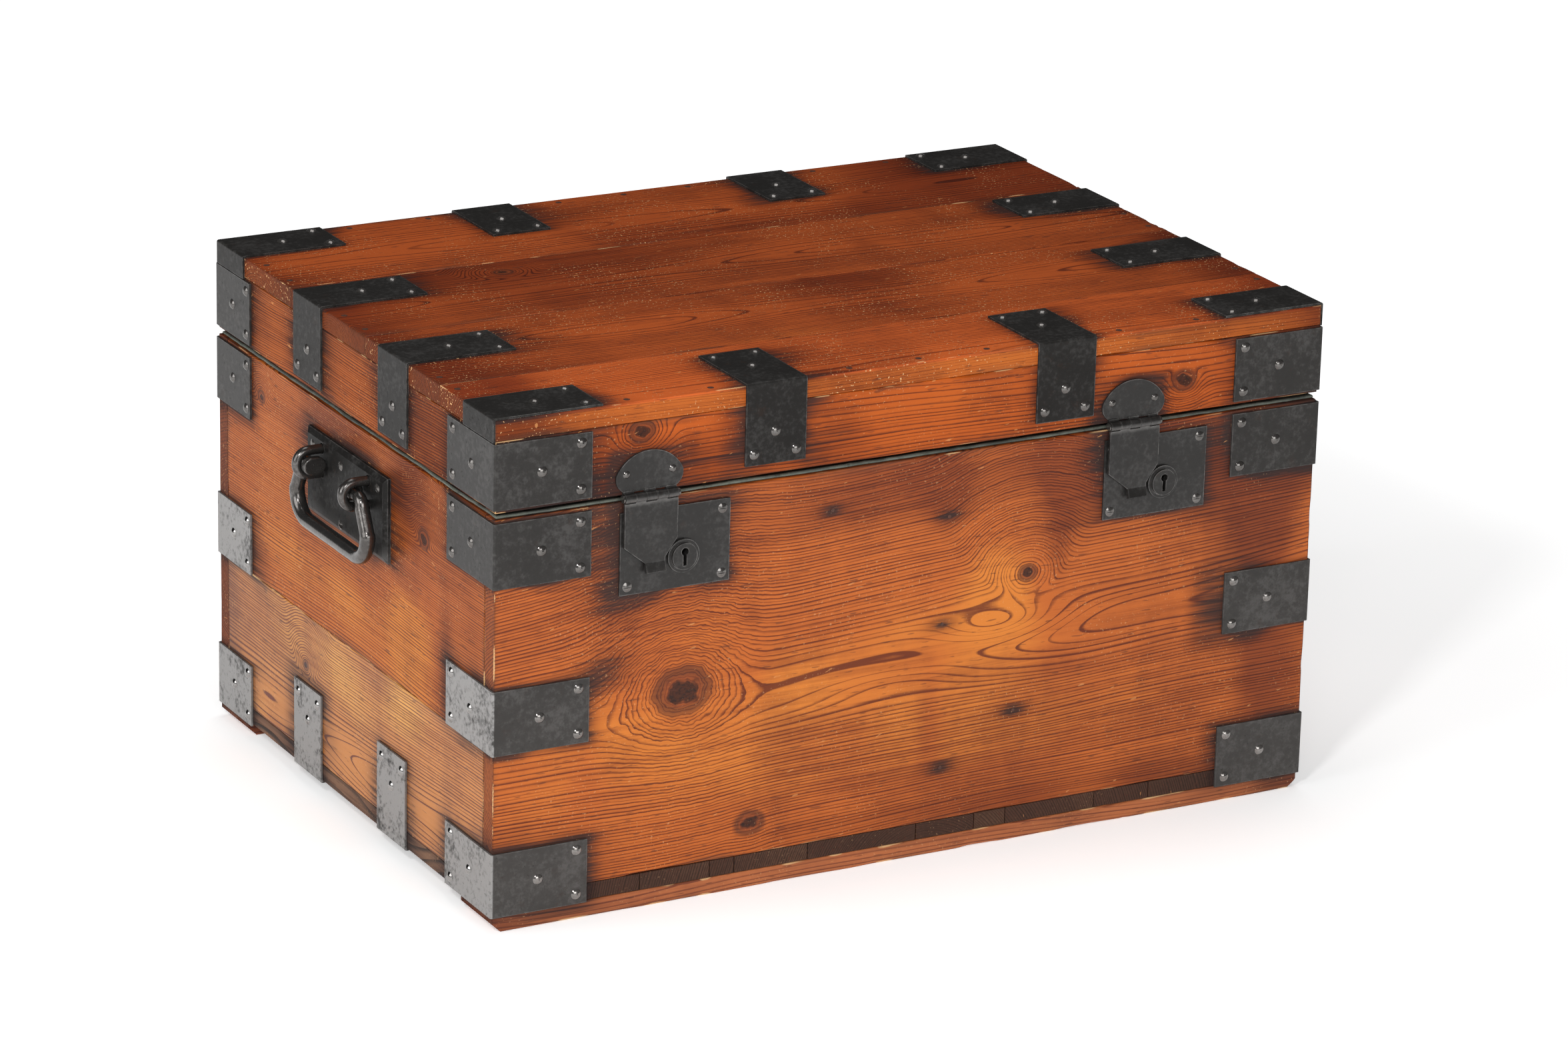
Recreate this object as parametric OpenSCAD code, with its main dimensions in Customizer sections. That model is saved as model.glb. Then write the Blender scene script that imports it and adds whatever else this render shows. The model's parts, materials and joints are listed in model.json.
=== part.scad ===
// Iron-bound travelling chest: pine boards, strap iron and a zinc liner.
// Millimetres, +Z up, front facing -Y, origin on the ground under the middle of the chest.

/* [Body] */
// Outside width over the boards, left to right
body_w = 840; // [780:10:900]
// Outside depth over the boards, front to back
body_d = 596; // [560:4:640]
// Height of the walls, from the floor boards to the rim
wall_h = 352; // [340:2:370]
// Thickness of the wall boards and the lid rails
board_t = 19; // [18:0.5:22]
// Thickness of the floor boards
floor_t = 16; // [14:1:20]
// Height of the two battens under the floor
batten_h = 16; // [14:1:24]
// Width of each batten, front to back
batten_w = 64; // [50:2:80]
// Height of the joint between the lower and the upper side boards, above the ground
wall_joint_z = 168; // [150:2:190]

/* [Lid] */
// Height of the lid rails
rail_h = 65; // [60:1:80]
// Thickness of the lid planks
plank_t = 19; // [16:0.5:22]
// Gap between the rim of the walls and the lid rails, where the liner's edge shows
seam_gap = 6; // [5.5:0.5:8]

/* [Ironwork] */
// Width of the strap iron
strap_w = 60; // [56:1:62]
// Thickness of the strap iron
strap_t = 2; // [1.5:0.25:2.5]
// Length of a corner bracket along the front or the back
bracket_leg_x = 92; // [80:1:100]
// Length of a front corner bracket along the side
bracket_leg_front = 92; // [80:1:100]
// Length of a back corner bracket along the side
bracket_leg_back = 76; // [70:1:100]
// Distance of the front straps and the hinges from the middle
strap_x = 148; // [120:1:170]
// Distance of the side straps and the bottom straps from the middle
side_strap_y = 92; // [80:1:110]
// Radius of a rivet head
rivet_r = 5; // [3.5:0.1:5.4]
// Height of a rivet head
rivet_h = 2.4; // [1.5:0.1:2.4]

/* [Hinges] */
// Radius of the hinge knuckles
hinge_knuckle_r = 4.5; // [4.5:0.1:5]
// Radius of the hinge pins
hinge_pin_r = 2.5; // [2:0.1:3]

/* [Hasps and locks] */
// Distance of each lock plate from the middle of the front
lock_x = 246; // [220:1:260]
// Width of a lock plate
lock_plate_w = 108; // [106:1:120]
// Height of a lock plate
lock_plate_h = 76; // [76:1:80]
// Width of a hasp flap
flap_w = 52; // [50:1:54]
// Thickness of a hasp flap
flap_t = 2.5; // [2:0.25:2.5]
// Travel of a lock bolt
bolt_travel = 10; // [8:0.5:10]

/* [Handles] */
// Width of a handle plate, front to back
handle_plate_w = 172; // [166:2:190]
// Height of a handle plate
handle_plate_h = 80; // [78:1:90]
// Thickness of a handle plate
handle_plate_t = 6; // [5:0.5:7]
// Diameter of the bail at its grip
bail_d = 15; // [13:0.5:16]
// Drop of the grip below the bail's pivot
bail_drop = 57; // [55:1:65]

/* [Hidden] */
$fn = 40;

pine = "#b5622a";
dark_pine = "#8a4a24";
iron = "#303134";
zinc = "#8e9b90";

// Heights above the ground
floor_z = batten_h;
wall_z = batten_h + floor_t;
rim_z = wall_z + wall_h;
lid_z = rim_z + seam_gap;
plank_z = lid_z + rail_h;
top_z = plank_z + plank_t;
half_w = body_w / 2;
half_d = body_d / 2;

// Joints between the floor boards, from left to right, and between the lid planks, front to back
floor_joints = [-347, -274, -204, -179, -104, 8, 69, 102, 197, 256, 338];
plank_joints = [-186, -30, 132];

// Tongue and groove of the side boards
tongue = 6;
tongue_gap = 0.2;

// Liner: sheet, its clearance to the walls and the rolled bead on its edge
sheet_t = 1;
liner_gap = 0.5;
bead_w = 4.5;
bead_h = 4;

// Rivets, nails and screws
shank_r = 2;
hole_gap = 0.1;
hasp_rivet_r = 3.6;
handle_rivet_r = 4.4;
grip = 14;
nail_head_r = 3;
nail_head_t = 1.5;
nail_proud = 0.3;
nail_shank_r = 1.5;
nail_length = 31;
nail_sunk = 0.4;  // how far a nail is driven in where its head must not stand out
screw_head_r = 4.6;
screw_head_h = 1.4;

// Directions that a fastener's head can face, as rotations of +Z
face_up = [0, 0, 0];
face_down = [180, 0, 0];
face_front = [90, 0, 0];
face_back = [-90, 0, 0];
face_right = [0, 90, 0];

// Bottoms of the four rings of corner brackets
lower_bracket_z = floor_z - 1;
middle_bracket_z = wall_joint_z - 1;
upper_bracket_z = rim_z - strap_w - 3;
lid_bracket_z = lid_z + 3;

// Strap legs
side_strap_top = 105;
side_strap_down = 78;
front_strap_top = 90;
front_strap_down = 74;
corner_strap_top = 103;
corner_strap_down = top_z - lid_bracket_z - strap_w - 1;
corner_strap_y = half_d - 1 - strap_w / 2;
bottom_strap_under = 70;
bottom_strap_up = 84;

// Hinge: axis behind the back face, at the seam
pin_gap = 0.05;
knuckle_gap = 0.3;
hinge_y = 5;
hinge_z = rim_z + 3;
hinge_leaf_h = 80;

// Hasp: axis in front of the front face
hasp_y = -4.5;
hasp_z = rim_z + 4;
hasp_knuckle_r = 4.3;
hasp_pin_r = 1.5;
hasp_on_plate = -26;
flap_back_y = -4;
flap_shoulder_z = hasp_z - 44;
flap_tip_z = hasp_z - 62;

// Lock, with places on the plate measured from the middle of the plate
lock_plate_drop = 10;
lock_plate_z = rim_z - lock_plate_drop - lock_plate_h;
lock_plate_t = 2;
screw_inset = 7.5;
key_x = 7.5;
key_z = lock_plate_z + 29.5;
boss_ring_r = 15.5;
boss_disc_r = 12.3;
case_left = -42;
case_right = 34;
case_depth = 11.5;
case_wall = 1.5;
case_z = lock_plate_z + 7;
case_h = 67;
channel_w = 10;
channel_depth = 12.5;
staple_z = hasp_z - 33;
channel_z = staple_z - 12;
staple_t = 4;
bolt_h = 8;
bolt_t = 5;
bolt_y = 2;

// Handle, measured from the side wall
eye_y = 50;
eye_bar_r = 5;
eye_bend_r = 11.5;
eye_reach = handle_plate_t + 13.5;
pivot_x = 18.5;
pivot_drop = 50;
pivot_z = rim_z - pivot_drop;
handle_plate_z = pivot_z - 57;  // bottom edge, level with the hanging grip
handle_spots = [[70, 67], [-70, 67], [9, 64], [9, 8]];

// ---------------------------------------------------------------- helpers

module block(lo, hi) {
    translate(lo) cube(hi - lo);
}

module at(spot) {
    translate(spot[0]) rotate(spot[1]) children();
}

module left_side() {
    mirror([1, 0, 0]) children();
}

// The same thing at all four corners, told the length of its leg along the side
module four_corners() {
    for (side = [0, 1], end = [0, 1])
        mirror([side, 0, 0]) mirror([0, end, 0])
            let ($leg = end == 1 ? bracket_leg_front : bracket_leg_back) children();
}

module both_sides_and_ends() {
    for (side = [0, 1], end = [0, 1])
        mirror([side, 0, 0]) mirror([0, end, 0]) children();
}

// ---------------------------------------------------------------- fasteners

// Domed head: a cap of a sphere standing on z = 0
module dome(r, h) {
    ball_r = (r * r + h * h) / (2 * h);
    intersection() {
        translate([0, 0, h - ball_r]) sphere(r = ball_r);
        cylinder(r = r + 1, h = h + 1);
    }
}

module rivet(r) {
    dome(r, rivet_h * r / rivet_r);
    translate([0, 0, -grip]) cylinder(r = shank_r, h = grip);
}

module rivets(spots, r = rivet_r) {
    for (s = spots) at(s) rivet(r);
}

module rivet_holes(spots) {
    for (s = spots) at(s) translate([0, 0, -10]) cylinder(r = shank_r + hole_gap, h = 12);
}

// Nail driven along -Z, its head just proud of z = 0
module nail() {
    translate([0, 0, nail_proud - nail_head_t]) cylinder(r = nail_head_r, h = nail_head_t);
    translate([0, 0, -nail_length]) cylinder(r = nail_shank_r, h = nail_length - 1);
}

module wood_screw() {
    difference() {
        union() {
            dome(screw_head_r, screw_head_h);
            translate([0, 0, -grip]) cylinder(r = shank_r, h = grip);
        }
        block([-screw_head_r, -0.6, screw_head_h - 1], [screw_head_r, 0.6, screw_head_h + 1]);
    }
}

// Three rivets on a leg: one in the middle, two at the corners of the free end
function leg_pattern(leg, near = 0.48, far = 0.89) =
    [[near * leg, 0], [far * leg, strap_w * 0.35], [far * leg, -strap_w * 0.35]];

// ---------------------------------------------------------------- walls and floor

module floor_boards() {
    edges = concat([-half_w], floor_joints, [half_w]);
    color(dark_pine)
        for (i = [0 : len(edges) - 2])
            block([edges[i] + 0.2, -half_d, floor_z], [edges[i + 1] - 0.2, half_d, wall_z]);
}

// Batten along X with its lower corners taken off, starting at y = 0
module batten() {
    cut = 9;
    color(dark_pine)
        translate([0, batten_w, 0]) rotate([90, 0, 0]) linear_extrude(batten_w)
            polygon([[-half_w, batten_h], [-half_w, cut], [-half_w + cut, 0],
                [half_w - cut, 0], [half_w, cut], [half_w, batten_h]]);
}

// Lower board of a side wall, a tongue on its top edge; along X, outer face on y = 0
module wall_lower(length) {
    color(pine) {
        block([-length / 2, 0, wall_z], [length / 2, board_t, wall_joint_z]);
        block([-length / 2, (board_t - tongue) / 2, wall_joint_z - 1],
            [length / 2, (board_t + tongue) / 2, wall_joint_z + tongue]);
    }
}

// Upper board of a side wall, with the matching groove in its bottom edge
module wall_upper(length) {
    color(pine)
        difference() {
            block([-length / 2, 0, wall_joint_z], [length / 2, board_t, rim_z]);
            block([-length, (board_t - tongue) / 2 - tongue_gap, wall_joint_z - 1],
                [length, (board_t + tongue) / 2 + tongue_gap, wall_joint_z + tongue + tongue_gap]);
        }
}

module to_front() {
    translate([0, -half_d, 0]) children();
}

module to_back() {
    translate([0, half_d, 0]) rotate([0, 0, 180]) children();
}

module to_left() {
    translate([-half_w, 0, 0]) rotate([0, 0, -90]) children();
}

module to_right() {
    translate([half_w, 0, 0]) rotate([0, 0, 90]) children();
}

side_length = body_d - 2 * board_t;

// Hollow in the front wall for one lock, and the staple's way out of it at the rim
module lock_hollow() {
    gap = 0.3;
    block([case_left - gap, -1, case_z - gap],
        [case_right + gap, case_depth + gap, case_z + case_h + gap]);
    staple_channel(rim_z + 1);
}

module staple_channel(top) {
    block([hasp_on_plate - channel_w / 2, -lock_plate_t - 1, channel_z],
        [hasp_on_plate + channel_w / 2, channel_depth, top]);
}

// One wide board across the whole front or back
module wide_board() {
    block([-half_w, 0, wall_z], [half_w, board_t, rim_z]);
}

module front_board() {
    color(pine)
        difference() {
            to_front() wide_board();
            for (x = [-lock_x, lock_x]) translate([x, -half_d, 0]) lock_hollow();
        }
}

module back_board() {
    color(pine) to_back() wide_board();
}

module left_board_lower() {
    to_left() wall_lower(side_length);
}

module left_board_upper() {
    to_left() wall_upper(side_length);
}

module right_board_lower() {
    to_right() wall_lower(side_length);
}

module right_board_upper() {
    to_right() wall_upper(side_length);
}

// Zinc tray inside the walls, with a flange over the rim and a rolled bead on its edge
module zinc_liner() {
    x = half_w - board_t - liner_gap;
    y = half_d - board_t - liner_gap;
    edge = 0.5;
    color(zinc)
        difference() {
            union() {
                block([-x, -y, wall_z], [x, y, rim_z + sheet_t]);
                block([-half_w + edge, -half_d + edge, rim_z],
                    [half_w - edge, half_d - edge, rim_z + sheet_t + bead_h]);
            }
            block([-x + sheet_t, -y + sheet_t, wall_z + sheet_t],
                [x - sheet_t, y - sheet_t, rim_z + 20]);
            block([-half_w + edge + bead_w, -half_d + edge + bead_w, rim_z + sheet_t],
                [half_w - edge - bead_w, half_d - edge - bead_w, rim_z + 20]);
            for (s = [-lock_x, lock_x])
                translate([s, -half_d, 0]) staple_channel(rim_z + 20);
        }
}

// ---------------------------------------------------------------- corner brackets

function bracket_spots(leg, z) = concat(
    [for (p = leg_pattern(bracket_leg_x))
        [[half_w - p[0], half_d + strap_t, z + strap_w / 2 + p[1]], face_back]],
    [for (p = leg_pattern(leg))
        [[half_w + strap_t, half_d - p[0], z + strap_w / 2 + p[1]], face_right]]);

// Angle iron round the corner at +X +Y
module corner_bracket(leg, z) {
    difference() {
        union() {
            block([half_w - bracket_leg_x, half_d, z], [half_w, half_d + strap_t, z + strap_w]);
            block([half_w, half_d - leg, z], [half_w + strap_t, half_d, z + strap_w]);
            translate([half_w, half_d, z]) rotate_extrude(angle = 90) square([strap_t, strap_w]);
        }
        rivet_holes(bracket_spots(leg, z));
    }
}

module corner_brackets(z) {
    color(iron) four_corners() corner_bracket($leg, z);
}

module lower_corner_brackets() {
    corner_brackets(lower_bracket_z);
}

module middle_corner_brackets() {
    corner_brackets(middle_bracket_z);
}

module upper_corner_brackets() {
    corner_brackets(upper_bracket_z);
}

module lid_corner_brackets() {
    corner_brackets(lid_bracket_z);
}

// ---------------------------------------------------------------- bent straps

// Strap bent over an edge: the edge is the Y axis, one leg lies along -X, the other hangs down
module bent_strap(top, down) {
    block([-top, -strap_w / 2, 0], [0, strap_w / 2, strap_t]);
    block([0, -strap_w / 2, -down], [strap_t, strap_w / 2, 0]);
    translate([0, strap_w / 2, 0]) rotate([90, 0, 0])
        rotate_extrude(angle = 90) square([strap_t, strap_w]);
}

function top_spots(top) =
    [for (p = leg_pattern(top, 0.5, 0.88)) [[-p[0], p[1], strap_t], face_up]];

function down_spots(down) =
    [for (p = leg_pattern(down, 0.6, 0.86)) [[strap_t, p[1], -p[0]], face_right]];

function strap_spots(top, down) = concat(top_spots(top), down_spots(down));

module riveted_strap(top, down, spots) {
    difference() {
        bent_strap(top, down);
        rivet_holes(spots);
    }
}

module at_side_straps() {
    both_sides_and_ends() translate([half_w, side_strap_y, top_z]) children();
}

module at_corner_straps() {
    both_sides_and_ends() translate([half_w, corner_strap_y, top_z]) children();
}

module at_bottom_straps() {
    both_sides_and_ends() translate([half_w, side_strap_y, floor_z]) mirror([0, 0, 1]) children();
}

module at_front_straps() {
    for (x = [-strap_x, strap_x]) translate([x, -half_d, top_z]) rotate([0, 0, -90]) children();
}

side_spots = strap_spots(side_strap_top, side_strap_down);
corner_spots = top_spots(corner_strap_top);
bottom_spots = strap_spots(bottom_strap_under, bottom_strap_up);
front_spots = strap_spots(front_strap_top, front_strap_down);

module lid_side_straps() {
    color(iron) at_side_straps() riveted_strap(side_strap_top, side_strap_down, side_spots);
}

module lid_corner_straps() {
    color(iron) at_corner_straps()
        riveted_strap(corner_strap_top, corner_strap_down, corner_spots);
}

module bottom_straps() {
    color(iron) at_bottom_straps()
        riveted_strap(bottom_strap_under, bottom_strap_up, bottom_spots);
}

module lid_front_straps() {
    color(iron) at_front_straps() riveted_strap(front_strap_top, front_strap_down, front_spots);
}

// ---------------------------------------------------------------- knuckles

// Every second knuckle of a barrel along X, counted from first, on the axis y = 0, z = 0
module knuckles(width, r, first) {
    pitch = width / 5;
    for (i = [first : 2 : 4])
        translate([-width / 2 + i * pitch + knuckle_gap / 2, 0, 0]) rotate([0, 90, 0])
            cylinder(r = r, h = pitch - knuckle_gap);
}

// Webs that join the same knuckles to their leaf, between the given corners in Y and Z
module webs(width, first, lo, hi) {
    pitch = width / 5;
    for (i = [first : 2 : 4])
        block([-width / 2 + i * pitch + knuckle_gap / 2, lo[0], lo[1]],
            [-width / 2 + (i + 1) * pitch - knuckle_gap / 2, hi[0], hi[1]]);
}

module bore(width, r) {
    translate([-width, 0, 0]) rotate([0, 90, 0]) cylinder(r = r, h = 2 * width);
}

// Pin along X with a low head on each end
module pin(width, r, head_r) {
    head_t = 1.5;
    translate([-width / 2 - 0.2, 0, 0]) rotate([0, 90, 0]) cylinder(r = r, h = width + 0.4);
    for (x = [-width / 2 - 0.2 - head_t, width / 2 + 0.2])
        translate([x, 0, 0]) rotate([0, 90, 0]) cylinder(r = head_r, h = head_t);
}

// ---------------------------------------------------------------- hinges

module at_hinge(x) {
    translate([x, half_d + hinge_y, hinge_z]) children();
}

hinge_strap_down = top_z - hinge_z - hinge_knuckle_r - knuckle_gap;
hinge_strap_spots = strap_spots(front_strap_top, hinge_strap_down);
hinge_leaf_top = -hinge_knuckle_r - knuckle_gap;
hinge_leaf_spots = [for (p = leg_pattern(hinge_leaf_h, 0.55, 0.88))
    [[p[1], strap_t - hinge_y, hinge_leaf_top - p[0]], face_back]];

module at_hinge_strap(x) {
    translate([x, half_d, top_z]) rotate([0, 0, 90]) children();
}

// Upper leaf: a strap over the lid's back edge that ends in two knuckles
module hinge_strap(x) {
    color(iron)
        difference() {
            union() {
                at_hinge_strap(x) bent_strap(front_strap_top, hinge_strap_down);
                at_hinge(x) knuckles(strap_w, hinge_knuckle_r, 1);
                at_hinge(x) webs(strap_w, 1, [-hinge_knuckle_r, 0],
                    [-hinge_y + strap_t + 1, hinge_knuckle_r + 2]);
            }
            at_hinge(x) bore(strap_w, hinge_pin_r + pin_gap);
            at_hinge_strap(x) rivet_holes(hinge_strap_spots);
        }
}

// Lower leaf on the back wall, with three knuckles
module hinge_leaf(x) {
    color(iron)
        difference() {
            union() {
                at_hinge(x) block([-strap_w / 2, -hinge_y, hinge_leaf_top - hinge_leaf_h],
                    [strap_w / 2, strap_t - hinge_y, hinge_leaf_top]);
                at_hinge(x) knuckles(strap_w, hinge_knuckle_r, 0);
                at_hinge(x) webs(strap_w, 0, [-hinge_knuckle_r, -hinge_knuckle_r - 2],
                    [-hinge_y + strap_t + 1, 0]);
            }
            at_hinge(x) bore(strap_w, hinge_pin_r + pin_gap);
            at_hinge(x) rivet_holes(hinge_leaf_spots);
        }
}

module hinge_strap_left() {
    hinge_strap(-strap_x);
}

module hinge_strap_right() {
    hinge_strap(strap_x);
}

module hinge_leaf_left() {
    hinge_leaf(-strap_x);
}

module hinge_leaf_right() {
    hinge_leaf(strap_x);
}

module hinge_pins() {
    color(iron)
        for (x = [-strap_x, strap_x]) at_hinge(x) pin(strap_w, hinge_pin_r, hinge_knuckle_r - 0.5);
}

// ---------------------------------------------------------------- hasps

module at_hasp(side) {
    translate([side * lock_x + hasp_on_plate, -half_d, 0]) children();
}

module at_hasp_axis(side) {
    at_hasp(side) translate([0, hasp_y, hasp_z]) children();
}

// Round-headed outline in X and Z: a domed top on two shoulders and a neck
module hasp_outline() {
    head_w = 65.4;
    shoulder_r = 13;
    shoulder_z = hasp_z + 17;
    crown_r = 36;
    top = hasp_z + 41;
    intersection() {
        translate([0, top - crown_r]) circle(r = crown_r);
        translate([-head_w / 2, shoulder_z]) square([head_w, 30]);
    }
    for (s = [-1, 1]) translate([s * (head_w / 2 - shoulder_r), shoulder_z]) circle(r = shoulder_r);
    translate([-flap_w / 2, hasp_z + hasp_knuckle_r + knuckle_gap])
        square([flap_w, shoulder_z + 3 - hasp_z - hasp_knuckle_r]);
}

hasp_plate_spots = [for (s = [-1, 1]) [[s * 22.5, -strap_t, hasp_z + 21], face_front]];

module hasp_plate(side) {
    color(iron)
        difference() {
            union() {
                at_hasp(side) rotate([90, 0, 0]) linear_extrude(strap_t) hasp_outline();
                at_hasp_axis(side) knuckles(flap_w, hasp_knuckle_r, 0);
                at_hasp_axis(side) webs(flap_w, 0, [-hasp_y - strap_t - 1, 0],
                    [hasp_knuckle_r - 0.1, hasp_knuckle_r + 2]);
            }
            at_hasp_axis(side) bore(flap_w, hasp_pin_r + pin_gap);
            at_hasp(side) rivet_holes(hasp_plate_spots);
        }
}

// Flap outline: straight sides, an uneven taper and a narrow tip
module flap_outline() {
    polygon([[-flap_w / 2, hasp_z - hasp_knuckle_r - knuckle_gap],
        [-flap_w / 2, flap_shoulder_z - 1], [-5, flap_tip_z], [14, flap_tip_z],
        [14, flap_tip_z + 4], [flap_w / 2, flap_shoulder_z + 3],
        [flap_w / 2, hasp_z - hasp_knuckle_r - knuckle_gap]]);
}

// Short lip at the tip of the flap, bent outwards for a fingertip
module flap_lip() {
    y = flap_back_y;
    translate([-5, 0, 0]) rotate([90, 0, 90]) linear_extrude(19)
        polygon([[y, flap_tip_z + 0.5], [y - flap_t, flap_tip_z + 0.5],
            [y - flap_t - 3, flap_tip_z - 8], [y - 1.5, flap_tip_z - 9.5]]);
}

module hasp_flap(side) {
    color(iron)
        difference() {
            union() {
                at_hasp(side) translate([0, flap_back_y, 0]) rotate([90, 0, 0])
                    linear_extrude(flap_t) flap_outline();
                at_hasp(side) flap_lip();
                at_hasp_axis(side) knuckles(flap_w, hasp_knuckle_r, 1);
                at_hasp_axis(side) webs(flap_w, 1,
                    [flap_back_y - flap_t - hasp_y, -hasp_knuckle_r - 2],
                    [1, 0]);
            }
            at_hasp_axis(side) bore(flap_w, hasp_pin_r + pin_gap);
        }
}

// Eye plate on the back of the flap that the lock bolt passes through
module hasp_staple(side) {
    reach = case_depth - case_wall - 0.5;
    half_h = 7.5;
    clear = 0.5;
    color(iron)
        at_hasp(side) difference() {
            block([-staple_t / 2, flap_back_y, staple_z - half_h],
                [staple_t / 2, reach, staple_z + half_h]);
            block([-staple_t, bolt_y - 1, staple_z - bolt_h / 2 - clear],
                [staple_t, bolt_y + bolt_t + 1, staple_z + bolt_h / 2 + clear]);
        }
}

module hasp_plate_left() {
    hasp_plate(-1);
}

module hasp_plate_right() {
    hasp_plate(1);
}

module hasp_flap_left() {
    hasp_flap(-1);
}

module hasp_flap_right() {
    hasp_flap(1);
}

module hasp_staple_left() {
    hasp_staple(-1);
}

module hasp_staple_right() {
    hasp_staple(1);
}

module hasp_pins() {
    color(iron)
        for (side = [-1, 1]) at_hasp_axis(side) pin(flap_w, hasp_pin_r, hasp_knuckle_r - 0.8);
}

// ---------------------------------------------------------------- locks

module at_lock(side) {
    translate([side * lock_x, -half_d, 0]) children();
}

lock_screw_spots = [
    for (s = [-1, 1], z = [screw_inset, lock_plate_h - screw_inset - 1])
        [[s * (lock_plate_w / 2 - screw_inset), -lock_plate_t, lock_plate_z + z], face_front]];

// Round top and a straight slot below it, cut along Y
module keyhole() {
    top_r = 3.5;
    top_up = 4.5;
    slot_w = 3.4;
    slot_down = 8.5;
    translate([key_x, 20, key_z + top_up]) rotate([90, 0, 0]) cylinder(r = top_r, h = 40);
    block([key_x - slot_w / 2, -20, key_z - slot_down], [key_x + slot_w / 2, 20, key_z + top_up]);
}

module lock_plate(side) {
    color(iron)
        at_lock(side) difference() {
            block([-lock_plate_w / 2, -lock_plate_t, lock_plate_z],
                [lock_plate_w / 2, 0, lock_plate_z + lock_plate_h]);
            staple_channel(rim_z);
            keyhole();
            rivet_holes(lock_screw_spots);
        }
}

// Ring and raised disc round the keyhole
module key_boss(side) {
    ring_h = 2.5;
    disc_h = 5;
    color(iron)
        at_lock(side) difference() {
            translate([key_x, -lock_plate_t, key_z]) rotate([90, 0, 0]) {
                cylinder(r = boss_ring_r, h = ring_h);
                cylinder(r = boss_disc_r, h = disc_h);
            }
            keyhole();
        }
}

// Open box behind the plate, with the key's post
module lock_case(side) {
    post_r = 1.4;
    color(iron)
        at_lock(side) {
            difference() {
                block([case_left, 0, case_z], [case_right, case_depth, case_z + case_h]);
                block([case_left + case_wall, -1, case_z + case_wall],
                    [case_right - case_wall, case_depth - case_wall, case_z + case_h - case_wall]);
                block([hasp_on_plate - channel_w / 2, -1, case_z + case_h / 2],
                    [hasp_on_plate + channel_w / 2, case_depth - case_wall, case_z + case_h + 1]);
            }
            translate([key_x, case_depth - 1, key_z + 4.5]) rotate([90, 0, 0])
                cylinder(r = post_r, h = case_depth - 2);
        }
}

// Sliding bolt with a notched talon that the key turns against
module lock_bolt(side) {
    tip_x = hasp_on_plate - staple_t / 2 - 1 + bolt_travel;
    tail_x = 20;
    talon_h = 7;
    color(iron)
        at_lock(side) difference() {
            union() {
                block([tip_x, bolt_y, staple_z - bolt_h / 2],
                    [tail_x, bolt_y + bolt_t, staple_z + bolt_h / 2]);
                block([0, bolt_y, staple_z - bolt_h / 2 - talon_h],
                    [tail_x - 4, bolt_y + bolt_t, staple_z - bolt_h / 2 + 1]);
            }
            translate([key_x, 20, staple_z - bolt_h / 2 - talon_h]) rotate([90, 0, 0])
                cylinder(r = 4, h = 40);
        }
}

// Bent leaf spring between the bolt and the top of the case
module lock_springs() {
    leaf = 0.8;
    low = staple_z + bolt_h / 2 + 0.4;
    high = case_z + case_h - case_wall - leaf;
    color(iron)
        for (side = [-1, 1])
            at_lock(side) translate([0, bolt_y + bolt_t, 0]) rotate([90, 0, 0])
                linear_extrude(bolt_t)
                    polygon([[-4, high], [8, low], [16, low], [28, high], [28, high + leaf],
                        [24, high + leaf], [15, low + leaf], [9, low + leaf], [0, high + leaf],
                        [-4, high + leaf]]);
}

module lock_plate_left() {
    lock_plate(-1);
}

module lock_plate_right() {
    lock_plate(1);
}

module key_boss_left() {
    key_boss(-1);
}

module key_boss_right() {
    key_boss(1);
}

module lock_case_left() {
    lock_case(-1);
}

module lock_case_right() {
    lock_case(1);
}

module lock_bolt_left() {
    lock_bolt(-1);
}

module lock_bolt_right() {
    lock_bolt(1);
}

module lock_screws() {
    color(iron)
        for (side = [-1, 1]) at_lock(side) for (s = lock_screw_spots) at(s) wood_screw();
}

// ---------------------------------------------------------------- handles

module at_handle() {
    translate([half_w, 0, 0]) children();
}

// Plate with all four edges bevelled: two bevelled prisms that cross
module bevelled_plate() {
    w = handle_plate_w / 2;
    z0 = handle_plate_z;
    z1 = handle_plate_z + handle_plate_h;
    t = handle_plate_t;
    edge = t / 2;
    slope = 5;
    intersection() {
        translate([0, w, 0]) rotate([90, 0, 0]) linear_extrude(2 * w)
            polygon([[0, z0], [edge, z0], [t, z0 + slope], [t, z1 - slope], [edge, z1], [0, z1]]);
        translate([0, 0, z0]) linear_extrude(z1 - z0)
            polygon([[0, -w], [edge, -w], [t, slope - w], [t, w - slope], [edge, w], [0, w]]);
    }
}

module handle_plate() {
    color(iron)
        at_handle() difference() {
            bevelled_plate();
            for (y = [-eye_y, eye_y], z = [-eye_bend_r, eye_bend_r])
                translate([-1, y, pivot_z + z]) rotate([0, 90, 0])
                    cylinder(r = eye_bar_r + hole_gap, h = 20);
            for (p = handle_spots)
                translate([-1, p[0], handle_plate_z + p[1]]) rotate([0, 90, 0])
                    cylinder(r = shank_r + hole_gap, h = 20);
        }
}

// U-shaped staple through the plate, in the X-Z plane
module handle_eye() {
    root = 16;
    for (z = [-eye_bend_r, eye_bend_r])
        translate([-root, 0, pivot_z + z]) rotate([0, 90, 0])
            cylinder(r = eye_bar_r, h = root + eye_reach);
    translate([eye_reach, 0, pivot_z]) rotate([90, 0, 0]) rotate([0, 0, -90])
        rotate_extrude(angle = 180) translate([eye_bend_r, 0]) circle(r = eye_bar_r);
}

module handle_eyes() {
    color(iron) at_handle() for (y = [-eye_y, eye_y]) translate([0, y, 0]) handle_eye();
}

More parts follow.
